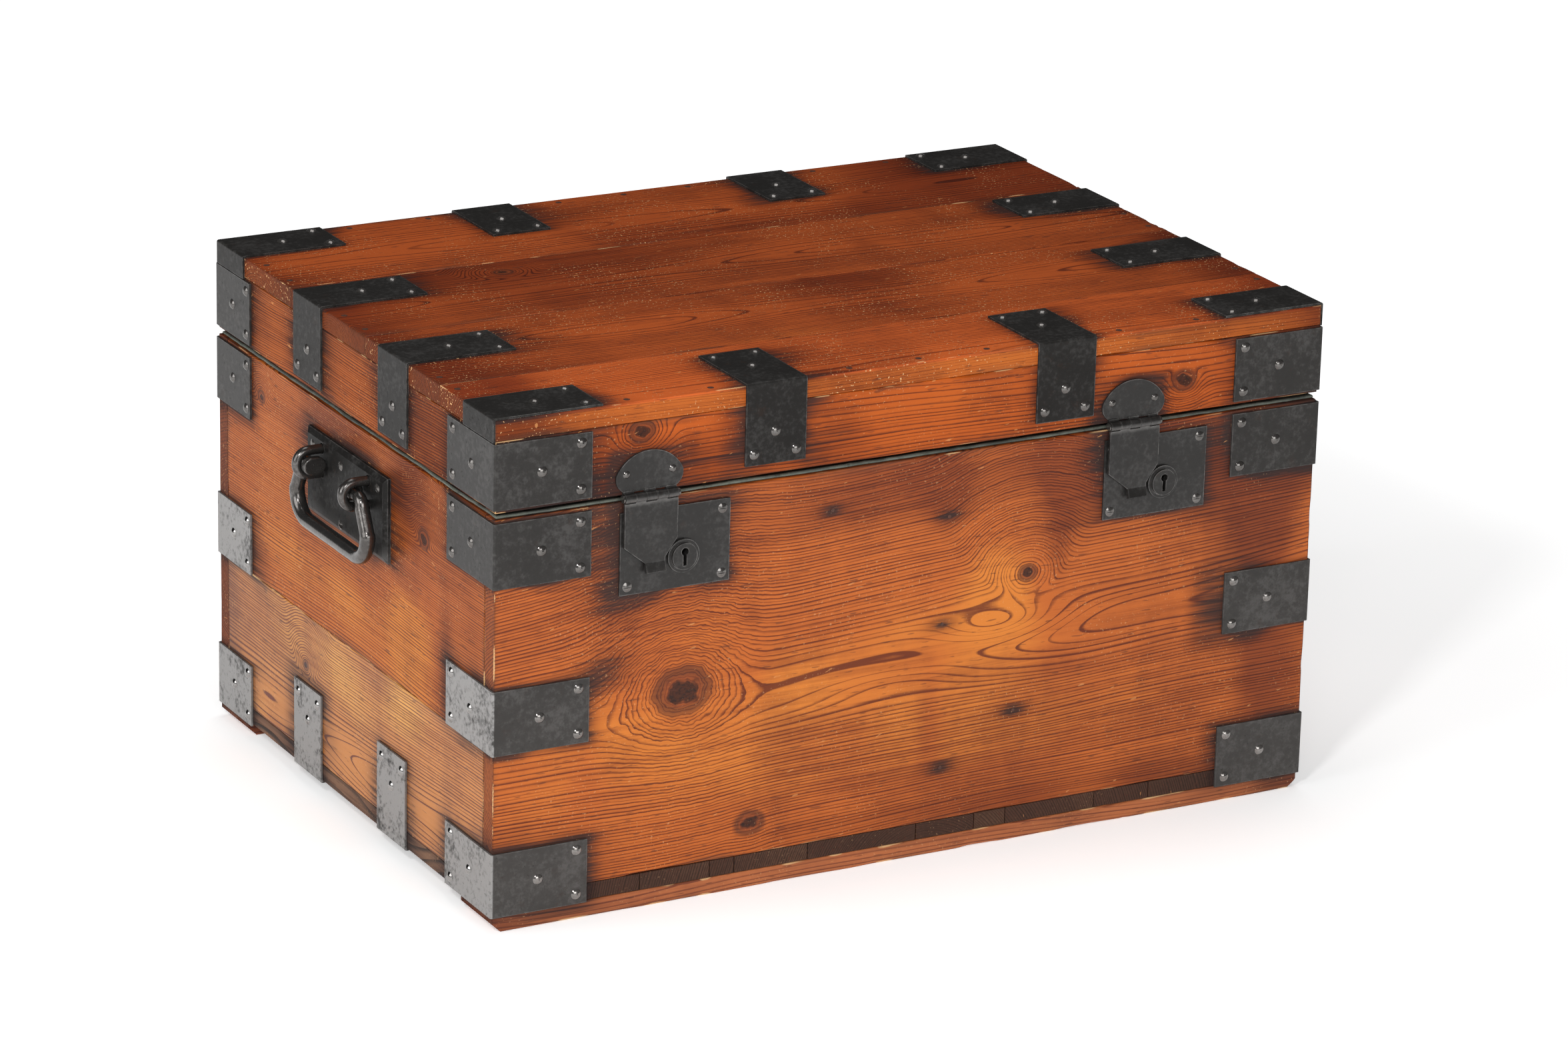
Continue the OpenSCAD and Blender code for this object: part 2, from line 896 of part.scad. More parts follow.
// Flat oval end of the bail, in the X-Z plane, thickness along -Y
module bail_head() {
    r = 8.5;
    half_l = 11.5;
    rotate([90, 0, 0]) linear_extrude(8) {
        translate([r - half_l, -r]) square([2 * (half_l - r), 2 * r]);
        for (s = [-1, 1]) translate([s * (half_l - r), 0]) circle(r = r);
    }
}

// Arc of the bail in its own plane: from angle a through 90 degrees, about [y, z]
module bail_arc(centre, a, bend, r) {
    translate([0, centre[0], centre[1]]) rotate([90, 0, 90]) rotate([0, 0, a])
        rotate_extrude(angle = 90) translate([bend, 0]) circle(r = r);
}

// Half of the bail, hanging from its pivot at the origin
module bail_half() {
    neck_r = 6.5;
    journal_r = 5.5;
    leg_r = (neck_r + bail_d / 2) / 2;
    neck_y = eye_y + eye_bar_r + 2;
    neck_bend = 8;
    corner = 25;
    corner_y = 52;
    leg_top = [neck_y + neck_bend, -neck_bend];
    leg_foot = [corner_y + corner, corner - bail_drop];
    leg_length = norm(leg_foot - leg_top);
    lean = atan2(leg_foot[0] - leg_top[0], leg_top[1] - leg_foot[1]);
    translate([0, eye_y - eye_bar_r - 1.5, 0]) bail_head();
    translate([0, neck_y, 0]) rotate([90, 0, 0])
        cylinder(r = journal_r, h = 2 * eye_bar_r + 5);
    bail_arc([neck_y, -neck_bend], 0, neck_bend, neck_r);
    translate([0, leg_top[0], leg_top[1]]) sphere(r = leg_r);
    translate([0, leg_top[0], leg_top[1]]) rotate([180 + lean, 0, 0])
        cylinder(r = leg_r, h = leg_length);
    translate([0, leg_foot[0], leg_foot[1]]) sphere(r = bail_d / 2);
    bail_arc([corner_y, corner - bail_drop], -90, corner, bail_d / 2);
    translate([0, corner_y, -bail_drop]) rotate([90, 0, 0])
        cylinder(r = bail_d / 2, h = corner_y + 1);
}

module bail() {
    color(iron)
        at_handle() translate([pivot_x, 0, pivot_z])
            for (end = [0, 1]) mirror([0, end, 0]) bail_half();
}

module handle_plate_left() {
    left_side() handle_plate();
}

module handle_plate_right() {
    handle_plate();
}

module handle_eyes_left() {
    left_side() handle_eyes();
}

module handle_eyes_right() {
    handle_eyes();
}

module bail_left() {
    left_side() bail();
}

module bail_right() {
    bail();
}

module handle_rivets() {
    color(iron)
        for (side = [0, 1]) mirror([side, 0, 0]) at_handle()
            for (p = handle_spots)
                translate([handle_plate_t, p[0], handle_plate_z + p[1]]) rotate([0, 90, 0]) {
                    dome(handle_rivet_r, 1.4);
                    translate([0, 0, -grip - 4]) cylinder(r = shank_r, h = grip + 4);
                }
}

// ---------------------------------------------------------------- lid woodwork

// Rail along X with its outer face on y = 0
module rail(length) {
    color(pine) block([-length / 2, 0, lid_z], [length / 2, board_t, plank_z]);
}

module lid_front_rail() {
    to_front() rail(body_w);
}

module lid_back_rail() {
    to_back() rail(body_w);
}

module lid_left_rail() {
    to_left() rail(side_length);
}

module lid_right_rail() {
    to_right() rail(side_length);
}

module lid_plank(y0, y1) {
    color(pine) block([-half_w, y0, plank_z], [half_w, y1, top_z]);
}

module lid_plank_front() {
    lid_plank(-half_d, plank_joints[0]);
}

module lid_plank_mid_front() {
    lid_plank(plank_joints[0], plank_joints[1]);
}

module lid_plank_mid_back() {
    lid_plank(plank_joints[1], plank_joints[2]);
}

module lid_plank_back() {
    lid_plank(plank_joints[2], half_d);
}

// ---------------------------------------------------------------- groups of fasteners

module lid_rivets() {
    color(iron) {
        four_corners() rivets(bracket_spots($leg, lid_bracket_z));
        at_side_straps() rivets(side_spots);
        at_corner_straps() rivets(corner_spots);
        at_front_straps() rivets(front_spots);
        for (x = [-strap_x, strap_x]) at_hinge_strap(x) rivets(hinge_strap_spots);
        for (side = [-1, 1]) at_hasp(side) rivets(hasp_plate_spots, hasp_rivet_r);
    }
}

module body_rivets() {
    color(iron) {
        for (z = [lower_bracket_z, middle_bracket_z, upper_bracket_z])
            four_corners() rivets(bracket_spots($leg, z));
        at_bottom_straps() rivets(bottom_spots);
        for (x = [-strap_x, strap_x]) at_hinge(x) rivets(hinge_leaf_spots);
    }
}

// Small nails through the front board, and nails up through the floor into the walls
module body_nails() {
    front_nails = [[-88, 347], [32, 324], [28, 222], [31, 83], [106, 127]];
    small = 0.55;
    along = 0.4;  // share of each floor board's width, clear of the bracket rivets
    edges = concat([-half_w], floor_joints, [half_w]);
    color(iron) {
        for (p = front_nails)
            translate([p[0], -half_d, p[1]]) rotate(face_front) scale(small) nail();
        for (end = [0, 1], i = [0 : len(edges) - 2])
            mirror([0, end, 0])
                translate([(1 - along) * edges[i] + along * edges[i + 1],
                    half_d - board_t / 2, floor_z + nail_sunk])
                    rotate(face_down) nail();
    }
}

// Nails up through the battens into the floor
module batten_nails() {
    color(iron)
        for (end = [0, 1], x = [-354 : 180 : 366])
            mirror([0, end, 0]) translate([x, half_d - batten_w / 2, nail_sunk])
                rotate(face_down) nail();
}

// Nails down through the planks into the lid rails, clear of the straps
module lid_nails() {
    inset = board_t / 2;
    long_edge = [-290, -208, -70, 0, 70, 208, 290];
    short_edge = [-202, -165, -10, 35, 155, 208];
    color(iron) {
        for (end = [0, 1], x = long_edge)
            mirror([0, end, 0]) translate([x, half_d - inset, top_z - nail_sunk]) nail();
        for (side = [0, 1], y = short_edge)
            mirror([side, 0, 0]) translate([half_w - inset, y, top_z - nail_sunk]) nail();
    }
}

floor_boards();
translate([0, -half_d, 0]) batten();  // front_batten
translate([0, half_d - batten_w, 0]) batten();  // back_batten
front_board();
back_board();
left_board_lower();
left_board_upper();
right_board_lower();
right_board_upper();
zinc_liner();
lower_corner_brackets();
middle_corner_brackets();
upper_corner_brackets();
bottom_straps();
hinge_leaf_left();
hinge_leaf_right();
hinge_pins();
handle_plate_left();
handle_plate_right();
handle_eyes_left();
handle_eyes_right();
lock_plate_left();
lock_plate_right();
lock_case_left();
lock_case_right();
key_boss_left();
key_boss_right();
lock_springs();
body_rivets();
body_nails();
batten_nails();
handle_rivets();
lock_screws();
lock_bolt_left();
lock_bolt_right();
bail_left();
bail_right();
lid_front_rail();
lid_back_rail();
lid_left_rail();
lid_right_rail();
lid_plank_front();
lid_plank_mid_front();
lid_plank_mid_back();
lid_plank_back();
lid_corner_brackets();
lid_corner_straps();
lid_side_straps();
lid_front_straps();
hinge_strap_left();
hinge_strap_right();
hasp_plate_left();
hasp_plate_right();
hasp_pins();
lid_rivets();
lid_nails();
hasp_flap_left();
hasp_flap_right();
hasp_staple_left();
hasp_staple_right();
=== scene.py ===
"""Looks of the iron-bound chest: worn pine boards, blackened iron, a zinc edge and two bails."""

import json
import math
from dataclasses import dataclass
from itertools import product

import bpy
import numpy as np
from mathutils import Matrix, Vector

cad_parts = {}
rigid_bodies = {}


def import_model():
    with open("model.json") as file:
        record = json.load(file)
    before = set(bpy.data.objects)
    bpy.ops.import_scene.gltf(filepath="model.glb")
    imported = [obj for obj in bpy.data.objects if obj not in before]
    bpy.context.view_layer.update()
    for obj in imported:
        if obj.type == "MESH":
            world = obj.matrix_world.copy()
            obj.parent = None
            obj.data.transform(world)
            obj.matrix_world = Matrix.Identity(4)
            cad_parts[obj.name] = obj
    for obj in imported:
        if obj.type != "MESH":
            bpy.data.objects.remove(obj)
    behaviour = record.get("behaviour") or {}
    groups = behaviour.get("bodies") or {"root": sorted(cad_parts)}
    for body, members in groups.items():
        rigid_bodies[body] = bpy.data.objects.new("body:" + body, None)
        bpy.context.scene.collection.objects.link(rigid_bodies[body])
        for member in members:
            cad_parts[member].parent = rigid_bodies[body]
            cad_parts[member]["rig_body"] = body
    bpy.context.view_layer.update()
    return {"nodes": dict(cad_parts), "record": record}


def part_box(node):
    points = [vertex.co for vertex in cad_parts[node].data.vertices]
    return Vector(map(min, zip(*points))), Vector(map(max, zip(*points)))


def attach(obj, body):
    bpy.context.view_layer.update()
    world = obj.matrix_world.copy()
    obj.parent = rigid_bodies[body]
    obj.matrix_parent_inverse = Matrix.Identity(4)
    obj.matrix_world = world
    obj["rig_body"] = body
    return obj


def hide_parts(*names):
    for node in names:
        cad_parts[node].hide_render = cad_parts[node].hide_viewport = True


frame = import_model()

MM = 0.001
X, Y, Z = 0, 1, 2
HALF_LENGTH, HALF_DEPTH = 0.42, 0.298

BOARD_SEED, FLOOR_SEED, BATTEN_SEED = 20, 80, 60
WOOD_NODES = {
    "front_board": X, "back_board": X,
    "left_board_lower": Y, "left_board_upper": Y,
    "right_board_lower": Y, "right_board_upper": Y,
    "lid_front_rail": X, "lid_back_rail": X, "lid_left_rail": Y, "lid_right_rail": Y,
    "lid_plank_front": X, "lid_plank_mid_front": X, "lid_plank_mid_back": X,
    "lid_plank_back": X,
}
NAIL_NODES = ["body_nails", "lid_nails", "batten_nails"]
STAINING = [
    "lower_corner_brackets", "middle_corner_brackets", "upper_corner_brackets",
    "bottom_straps", "hinge_leaf_left", "hinge_leaf_right",
    "handle_plate_left", "handle_plate_right", "lock_plate_left", "lock_plate_right",
    "lid_corner_brackets", "lid_corner_straps", "lid_side_straps", "lid_front_straps",
    "hinge_strap_left", "hinge_strap_right", "hasp_plate_left", "hasp_plate_right",
]


# ------------------------------------------------------------------ numbers on a mesh

HASH = (73856093, 19349663, 83492791)


def smooth_noise(points, scale, seed):
    """Smooth noise from 0 to 1 at each point; its features are 1/scale metres across."""
    spot = points * scale + seed * 17.31
    cell = np.floor(spot).astype(np.int64)
    t = spot - cell
    t = t * t * (3 - 2 * t)
    total = np.zeros(len(points))
    for corner in product((0, 1), repeat=3):
        c = cell + np.array(corner)
        h = (c[:, 0] * HASH[0]) ^ (c[:, 1] * HASH[1]) ^ (c[:, 2] * HASH[2])
        h = (h ^ (h >> 13)) * 1274126177
        h = (h ^ (h >> 16)) & 0xFFFF
        weight = np.prod(np.where(corner, t, 1 - t), axis=1)
        total += weight * h / 0xFFFF
    return total


def step_up(value, low, high):
    """0 below low, 1 above high, and a smooth rise between."""
    t = np.clip((value - low) / (high - low), 0, 1)
    return t * t * (3 - 2 * t)


def solids(node):
    """Box of each separate solid of a CAD node, as (low, high) arrays."""
    mesh = frame["nodes"][node].data
    points = np.array([v.co for v in mesh.vertices])
    weld = 0.01 * MM
    keys = np.round(points / weld).astype(np.int64)
    _, same = np.unique(keys, axis=0, return_inverse=True)
    same = same.ravel()
    group = np.arange(same.max() + 1)
    edges = np.array([e.vertices[:] for e in mesh.edges])
    ends = same[edges]
    while True:
        low = np.minimum(group[ends[:, 0]], group[ends[:, 1]])
        before = group.copy()
        np.minimum.at(group, ends[:, 0], low)
        np.minimum.at(group, ends[:, 1], low)
        group = group[group]
        if (group == before).all():
            break
    label = group[same]
    return [(points[label == g].min(0), points[label == g].max(0)) for g in np.unique(label)]


def distance_to_boxes(points, boxes, grain, stretch):
    """Distance to the nearest box, counted as shorter along the grain."""
    unit = np.ones(3)
    unit[grain] = 1 / stretch
    best = np.full(len(points), 1.0)
    for low, high in boxes:
        gap = np.maximum(np.maximum(low - points, points - high), 0) * unit
        best = np.minimum(best, np.sqrt((gap * gap).sum(1)))
    return best


def mesh_object(name, points, faces, smooth=True):
    mesh = bpy.data.meshes.new(name)
    mesh.from_pydata([tuple(p) for p in points], [], [tuple(f) for f in faces])
    mesh.validate()
    mesh.update()
    if smooth:
        mesh.shade_smooth()
    obj = bpy.data.objects.new(name, mesh)
    bpy.context.scene.collection.objects.link(obj)
    return obj


def vertex_points(mesh):
    flat = np.zeros(len(mesh.vertices) * 3)
    mesh.vertices.foreach_get("co", flat)
    return flat.reshape(-1, 3)


def set_number(mesh, name, values):
    attribute = mesh.attributes.new(name, "FLOAT", "POINT")
    attribute.data.foreach_set("value", np.asarray(values, np.float32))


# ------------------------------------------------------------------ worn boards

EDGE_LINES = np.array([0, 0.35, 0.8, 1.4, 2.4, 4.0]) * MM


def grid_lines(low, high, step):
    """Coordinates across a board: close together at both edges, step apart between."""
    near = EDGE_LINES[EDGE_LINES < (high - low) / 2.2]
    inner = np.linspace(low + near[-1], high - near[-1],
                        max(2, round((high - low - 2 * near[-1]) / step) + 1))
    return np.concatenate([low + near[:-1], inner, (high - near[:-1])[::-1]])


def box_grid(lines):
    """Points and outward quads on the skin of a box cut along the given lines."""
    counts = [len(a) for a in lines]
    index = np.full(counts, -1)
    skin = np.zeros(counts, bool)
    for axis in range(3):
        for side in (0, -1):
            place = [slice(None)] * 3
            place[axis] = side
            skin[tuple(place)] = True
    index[skin] = np.arange(skin.sum())
    where = np.argwhere(skin)
    points = np.stack([lines[a][where[:, a]] for a in range(3)], axis=1)
    faces = []
    for axis in range(3):
        for side in (0, -1):
            place = [slice(None)] * 3
            place[axis] = side
            sheet = index[tuple(place)]
            quads = np.stack([sheet[:-1, :-1], sheet[1:, :-1], sheet[1:, 1:], sheet[:-1, 1:]],
                             axis=-1).reshape(-1, 4)
            outward = (side == -1) != (axis == 1)
            faces.append(quads if outward else quads[:, ::-1])
    return points, np.concatenate(faces)


def worn_board(name, low, high, grain, seed, step=5 * MM, arris=0.8, chip=2.2):
    """Board with rounded, uneven, chipped arrises and a slightly wavy face, inside its box."""
    low, high = np.array(low), np.array(high)
    points, faces = box_grid([grid_lines(low[a], high[a], step) for a in range(3)])
    stretch = np.full(3, 1.0)
    stretch[grain] = 0.35
    ragged = smooth_noise(points * stretch, 55, seed)
    nicks = smooth_noise(points * stretch, 190, seed + 3)
    radius = arris * (0.45 + 1.1 * smooth_noise(points, 30, seed + 1))
    radius += chip * step_up(ragged, 0.66, 0.86) * (0.35 + 0.65 * nicks)
    radius += 0.7 * chip * step_up(nicks, 0.86, 0.97)
    radius = np.minimum(radius * MM, (high - low).min() * 0.4)[:, None]
    core = np.clip(points, low + radius, high - radius)
    away = points - core
    length = np.linalg.norm(away, axis=1)[:, None]
    outward = away / np.maximum(length, 1e-9)
    dip = (0.30 * smooth_noise(points * stretch, 9, seed + 5)
           + 0.10 * smooth_noise(points * stretch, 60, seed + 6)) * MM
    return mesh_object(name, core + outward * (radius - dip[:, None]), faces)


def iron_stain(p, low, grain):
    """Dark halo round iron and nails, on the outside only; faint on the edges of the lid."""
    near_iron = distance_to_boxes(p, iron_boxes, grain, 2.6)
    near_nail = distance_to_boxes(p, nail_boxes, grain, 3.0)
    reach = (3.5 + 20 * smooth_noise(p, 14, 11) ** 2) * MM
    stain = np.exp(-near_iron / reach) * (0.22 + 0.95 * smooth_noise(p, 30, 7))
    depth_inside = (OUTSIDE - np.abs(p - MIDDLE)).min(1)
    stain *= step_up(depth_inside, 10 * MM, 3 * MM)
    if low[Z] > LID_TOP - 30 * MM:
        stain *= 0.25 + 0.75 * step_up(p[:, Z], LID_TOP - 4 * MM, LID_TOP - 1 * MM)
    return np.maximum(stain, 0.95 * np.exp(-near_nail / (4.0 * MM)))


def darkened(p, from_end, grain, seed, bands):
    """How much a board is darkened, partly its own tone and partly painted shade: in the given
    bands, or at its ends and in patches.
    """
    uneven = 0.45 + 1.1 * smooth_noise(p, 16, seed + 9)
    if not bands:
        patches = step_up(smooth_noise(p, 5.5, seed + 10), 0.45, 0.85)
        return 0.8 * np.exp(-from_end / (60 * MM)) * uneven + 0.8 * patches
    shade = np.zeros(len(p))
    for at_along, at_height, half_length, half_height, amount in bands:
        reach = ((p[:, grain] - at_along) / half_length) ** 2
        reach += ((p[:, Z] - at_height) / half_height) ** 2
        shade += amount * np.exp(-reach) * uneven
    return shade


def mark_board(obj, low, high, grain, seed, worn=1.0, bands=()):
    """Numbers the wood material reads: shade, iron stain, worn arrises, grime and end grain."""
    low, high = np.array(low), np.array(high)
    p = vertex_points(obj.data)
    gaps = np.stack([np.minimum(p[:, a] - low[a], high[a] - p[:, a]) for a in range(3)], axis=1)
    from_end = gaps[:, grain]
    nearest, second = np.sort(gaps, axis=1)[:, :2].T
    wear = np.exp(-(nearest + second) / (1.5 * MM)) * worn
    wear *= step_up(smooth_noise(p, 60, seed + 3), 0.42, 0.80)
    grime = np.exp(-second / (9 * MM)) * smooth_noise(p, 18, seed + 8)
    set_number(obj.data, "shade", np.clip(darkened(p, from_end, grain, seed, bands), -1, 1))
    set_number(obj.data, "stain", np.clip(iron_stain(p, low, grain), 0, 1))
    set_number(obj.data, "wear", np.clip(wear, 0, 1))
    set_number(obj.data, "grime", np.clip(grime, 0, 1))
    set_number(obj.data, "end", from_end < 0.9 * MM)


# places darker (positive) or lighter (negative) than the rest of a board, partly its own tone and
# partly painted shade and painted light, in metres:
# along the board, height, half length, half height, amount
FRONT_BANDS = (
    (-0.345, 0.260, 0.030, 0.060, 0.15), (-0.288, 0.245, 0.014, 0.060, 0.35),
    (-0.166, 0.262, 0.014, 0.050, 0.50), (0.030, 0.345, 0.022, 0.050, 0.50),
    (0.147, 0.320, 0.018, 0.080, 0.75), (0.300, 0.340, 0.150, 0.060, 0.85),
    (0.370, 0.200, 0.036, 0.200, 0.85), (0.420, 0.120, 0.050, 0.070, 0.60),
    (-0.060, 0.360, 0.280, 0.050, 0.75), (0.120, 0.040, 0.300, 0.024, 0.75),
    (-0.330, 0.110, 0.018, 0.060, 0.30), (0.020, 0.120, 0.012, 0.060, 0.30),
    (-0.060, 0.170, 0.190, 0.075, -0.75), (0.085, 0.250, 0.035, 0.055, -0.80),
    (0.150, 0.110, 0.130, 0.045, -0.55), (-0.300, 0.170, 0.080, 0.060, -0.45),
    (-0.080, 0.290, 0.080, 0.025, -0.40),
)
LEFT_UPPER_BANDS = (
    (-0.200, 0.215, 0.018, 0.070, 0.70), (-0.255, 0.260, 0.040, 0.060, 0.45),
    (0.000, 0.355, 0.250, 0.045, 0.75), (0.250, 0.350, 0.050, 0.060, 0.50),
    (0.060, 0.215, 0.200, 0.030, -0.70), (-0.120, 0.220, 0.050, 0.050, -0.60),
    (0.180, 0.290, 0.060, 0.040, -0.40),
)
LEFT_LOWER_BANDS = (
    (-0.205, 0.130, 0.018, 0.090, 0.60), (0.030, 0.060, 0.250, 0.025, 0.35),
    (0.270, 0.120, 0.030, 0.090, 0.50), (0.120, 0.140, 0.120, 0.050, -0.55),
    (-0.120, 0.150, 0.060, 0.050, -0.75), (-0.020, 0.100, 0.050, 0.050, -0.50),
)
BANDS = {"front_board": FRONT_BANDS, "left_board_upper": LEFT_UPPER_BANDS,
         "left_board_lower": LEFT_LOWER_BANDS}

iron_boxes = [b for n in STAINING for b in solids(n)]
FLOOR_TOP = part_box("floor_boards")[1].z
nail_boxes = [b for b in solids("body_nails") if b[0][Z] > FLOOR_TOP]
LID_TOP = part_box("lid_plank_front")[1].z
# half size and middle of the woodwork, the battens left out
OUTSIDE = np.array([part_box("front_board")[1].x, -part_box("front_board")[0].y,
                    (LID_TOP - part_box("floor_boards")[0].z) / 2])
MIDDLE = np.array([0, 0, (LID_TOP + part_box("floor_boards")[0].z) / 2])


# ------------------------------------------------------------------ arithmetic with nodes

class Field:
    """A value over a surface: a node's output that can be added, multiplied and so on."""

    def __init__(self, graph, socket):
        self.graph, self.socket = graph, socket

    def __add__(self, other):
        return self.graph.math("ADD", self, other)

    def __sub__(self, other):
        return self.graph.math("SUBTRACT", self, other)

    def __rsub__(self, other):
        return self.graph.math("SUBTRACT", other, self)

    def __mul__(self, other):
        return self.graph.math("MULTIPLY", self, other)

    def __truediv__(self, other):
        return self.graph.math("DIVIDE", self, other)

    __radd__, __rmul__ = __add__, __mul__


class Graph:
    """A material's nodes, built by calling functions on fields."""

    def __init__(self, name):
        self.material = bpy.data.materials.new(name)
        self.material.use_nodes = True
        self.tree = self.material.node_tree
        self.tree.nodes.clear()
        self.shader = self.tree.nodes.new("ShaderNodeBsdfPrincipled")
        output = self.tree.nodes.new("ShaderNodeOutputMaterial")
        self.tree.links.new(self.shader.outputs[0], output.inputs[0])

    def feed(self, socket, value):
        if isinstance(value, Field):
            self.tree.links.new(value.socket, socket)
        else:
            socket.default_value = value

    def node(self, kind, output, inputs, **settings):
        node = self.tree.nodes.new("ShaderNode" + kind)
        for key, value in settings.items():
            setattr(node, key, value)
        for key, value in inputs.items():
            self.feed(node.inputs[key], value)
        return Field(self, node.outputs[output])

    def math(self, operation, *values):
        return self.node("Math", 0, dict(enumerate(values)), operation=operation)

    def smooth(self, value, low, high):
        """0 below low, 1 above high, and a smooth rise between; low may be the larger."""
        inputs = {"Value": value, "From Min": low, "From Max": high}
        return self.node("MapRange", 0, inputs, interpolation_type="SMOOTHSTEP")

    def vector(self, x, y, z):
        return self.node("CombineXYZ", 0, {0: x, 1: y, 2: z})

    def noise(self, vector, scale, detail=2.0, roughness=0.5):
        inputs = {"Vector": vector, "Scale": scale, "Detail": detail, "Roughness": roughness}
        return self.node("TexNoise", 0, inputs)

    def cells(self, vector, scale, feature="F1"):
        return self.node("TexVoronoi", 0, {"Vector": vector, "Scale": scale}, feature=feature)

    def mix(self, share, a, b, blend="MIX"):
        node = self.tree.nodes.new("ShaderNodeMix")
        node.data_type = "RGBA"
        node.blend_type = blend
        self.feed(node.inputs[0], share)
        for socket, value in ((node.inputs[6], a), (node.inputs[7], b)):
            self.feed(socket, value if isinstance(value, Field) else (*value, 1))
        return Field(self, node.outputs[2])

    def attribute(self, name):
        return self.node("Attribute", "Fac", {}, attribute_name=name)

    def coordinates(self):
        """Object coordinates, which are the frame's own, as a vector and as x, y and z."""
        place = self.tree.nodes.new("ShaderNodeTexCoord").outputs["Object"]
        split = self.tree.nodes.new("ShaderNodeSeparateXYZ")
        self.tree.links.new(place, split.inputs[0])
        return Field(self, place), [Field(self, s) for s in split.outputs]

    def edge(self, radius):
        """Rises towards 1 at an outside edge."""
        rounded = self.node("Bevel", 0, {"Radius": radius}, samples=4)
        flat = self.node("NewGeometry", "Normal", {})
        node = self.tree.nodes.new("ShaderNodeVectorMath")
        node.operation = "DOT_PRODUCT"
        self.feed(node.inputs[0], rounded)
        self.feed(node.inputs[1], flat)
        return 1 - Field(self, node.outputs["Value"])

    def bump(self, height, distance, strength=1.0):
        inputs = {"Strength": strength, "Distance": distance, "Height": height}
        self.feed(self.shader.inputs["Normal"], self.node("Bump", 0, inputs))

    def finish(self, colour, roughness, specular=0.5):
        self.feed(self.shader.inputs["Base Color"], colour)
        self.feed(self.shader.inputs["Roughness"], roughness)
        self.feed(self.shader.inputs["Specular IOR Level"], specular)
        return self.material


# ------------------------------------------------------------------ wood

# linear colours of what lies in and on the wood
KNOT_CORE, KNOT_RIM, KNOT_HEART = (0.19, 0.042, 0.012), (0.060, 0.017, 0.009), (0.022, 0.008, 0.005)
GRIME, IRON_STAIN, DENT = (0.075, 0.032, 0.018), (0.022, 0.014, 0.013), (0.075, 0.022, 0.012)
PALE_SPECK, SCRATCH, BARE_WOOD = (0.62, 0.36, 0.17), (0.58, 0.26, 0.09), (0.66, 0.40, 0.19)
# what multiplies the colour in lighter and in darker patches, partly the wood's own tone and partly
# painted light and painted shade, and round iron
GLOW_TINT, SHADE_TINT, HALO_TINT = (1.45, 2.00, 1.80), (0.40, 0.29, 0.32), (0.30, 0.24, 0.28)


@dataclass
class Wood:
    """How one board was cut from its log: metres, in the board's own along/across/depth axes.

    pith is the pith's place across the board, and hollow its depth behind the origin; lean and
    taper tilt it along the board. A knot has its place, core and reach, and the ring it parts.
    An eye has its place, its half sizes and how far the rings rise there.
    """

    along: int
    across: int
    depth: int
    pith: float
    hollow: float
    lean: float = 0.0
    taper: float = 0.0
    wander: float = 0.050
    spacing: float = 2.7
    knots: tuple = ()
    eyes: tuple = ()
    early: tuple = (0.47, 0.113, 0.017)
    late: tuple = (0.125, 0.021, 0.005)
    top: tuple = ()
    ends: tuple = (0.085, 0.026, 0.011)
    contrast: float = 1.0
    tone: float = 1.0
    specks: float = 0.35
    gloss: float = 0.42
    shine: float = 0.22
    seed: float = 1.0


def growth_rings(g, wood, along, across, depth):
    """Distance from a wavering pith, and how steeply the rings meet the surface."""
    drift = g.noise(g.vector(along * 1.6 + wood.seed, across * 3.0, depth), 1.0, 2.0) - 0.5
    waver = g.noise(g.vector(along * 5.0, across * 16.0 + wood.seed, depth * 8), 1.0, 2.0) - 0.5
    u = across - wood.pith - along * wood.lean + drift * wood.wander + waver * 0.006
    bow = g.noise(g.vector(along * 2.2, across * 2.0, depth + wood.seed), 1.0, 1.0) - 0.5
    w = depth + along * wood.taper + wood.hollow + bow * 0.030
    for at_along, at_across, half_length, half_width, rise in wood.eyes:
        a = (along - at_along) / half_length
        b = (across - at_across) / half_width
        w = w + g.math("EXPONENT", (a * a + b * b) * -1.0) * rise
    rings = g.math("SQRT", u * u + w * w)
    return rings, g.math("ABSOLUTE", u) / rings


def grow_knots(g, wood, along, across, rings, steep):
    """Bends the rings round each knot, and marks the knots' cores, rims and hearts."""
    core_mask, rim_mask, heart_mask = 0.0, 0.0, 0.0
    for at_along, at_across, core, reach, level in wood.knots:
        a = (along - at_along) / 1.25
        b = across - at_across
        wobble = g.noise(g.vector(along, across, wood.seed), 70.0, 2.0) - 0.5
        d = g.math("SQRT", a * a + b * b) + wobble * core * 0.5
        rings = g.math("SMOOTH_MIN", rings, d + (level - reach), reach * 0.9)
        steep = g.math("MAXIMUM", steep, g.smooth(d, reach * 1.9, reach) * 0.7)
        core_mask = g.math("MAXIMUM", core_mask, g.smooth(d, core * 1.10, core * 0.85))
        rim = g.smooth(d, core * 1.7, core * 1.15) * g.smooth(d, core * 0.8, core * 1.05)
        rim_mask = g.math("MAXIMUM", rim_mask, rim)
        heart = g.smooth(d + wobble * core * 0.9, core * 0.86, core * 0.55)
        heart_mask = g.math("MAXIMUM", heart_mask, heart)
    return rings, steep, core_mask, rim_mask, heart_mask


def late_wood(g, wood, along, rings, steep):
    """Dark end of each year's ring, stronger in some years; thin where the rings lie flat."""
    uneven = g.noise(g.vector(rings * 90, along * 0.8, wood.seed), 1.0, 2.0) - 0.5
    phase = rings / (wood.spacing * MM) + uneven * 2.4
    t = g.math("FRACT", phase)
    year = g.math("FLOOR", phase)
    strength = g.node("TexWhiteNoise", 0, {"W": year + wood.seed * 7}, noise_dimensions="1D")
    begin = g.smooth(steep, 0.05, 0.75) * -0.40 + 0.84
    line = g.smooth(t, begin, 0.93) * g.smooth(t, 1.0, 0.95)
    return line * (strength * 0.75 + 0.55)


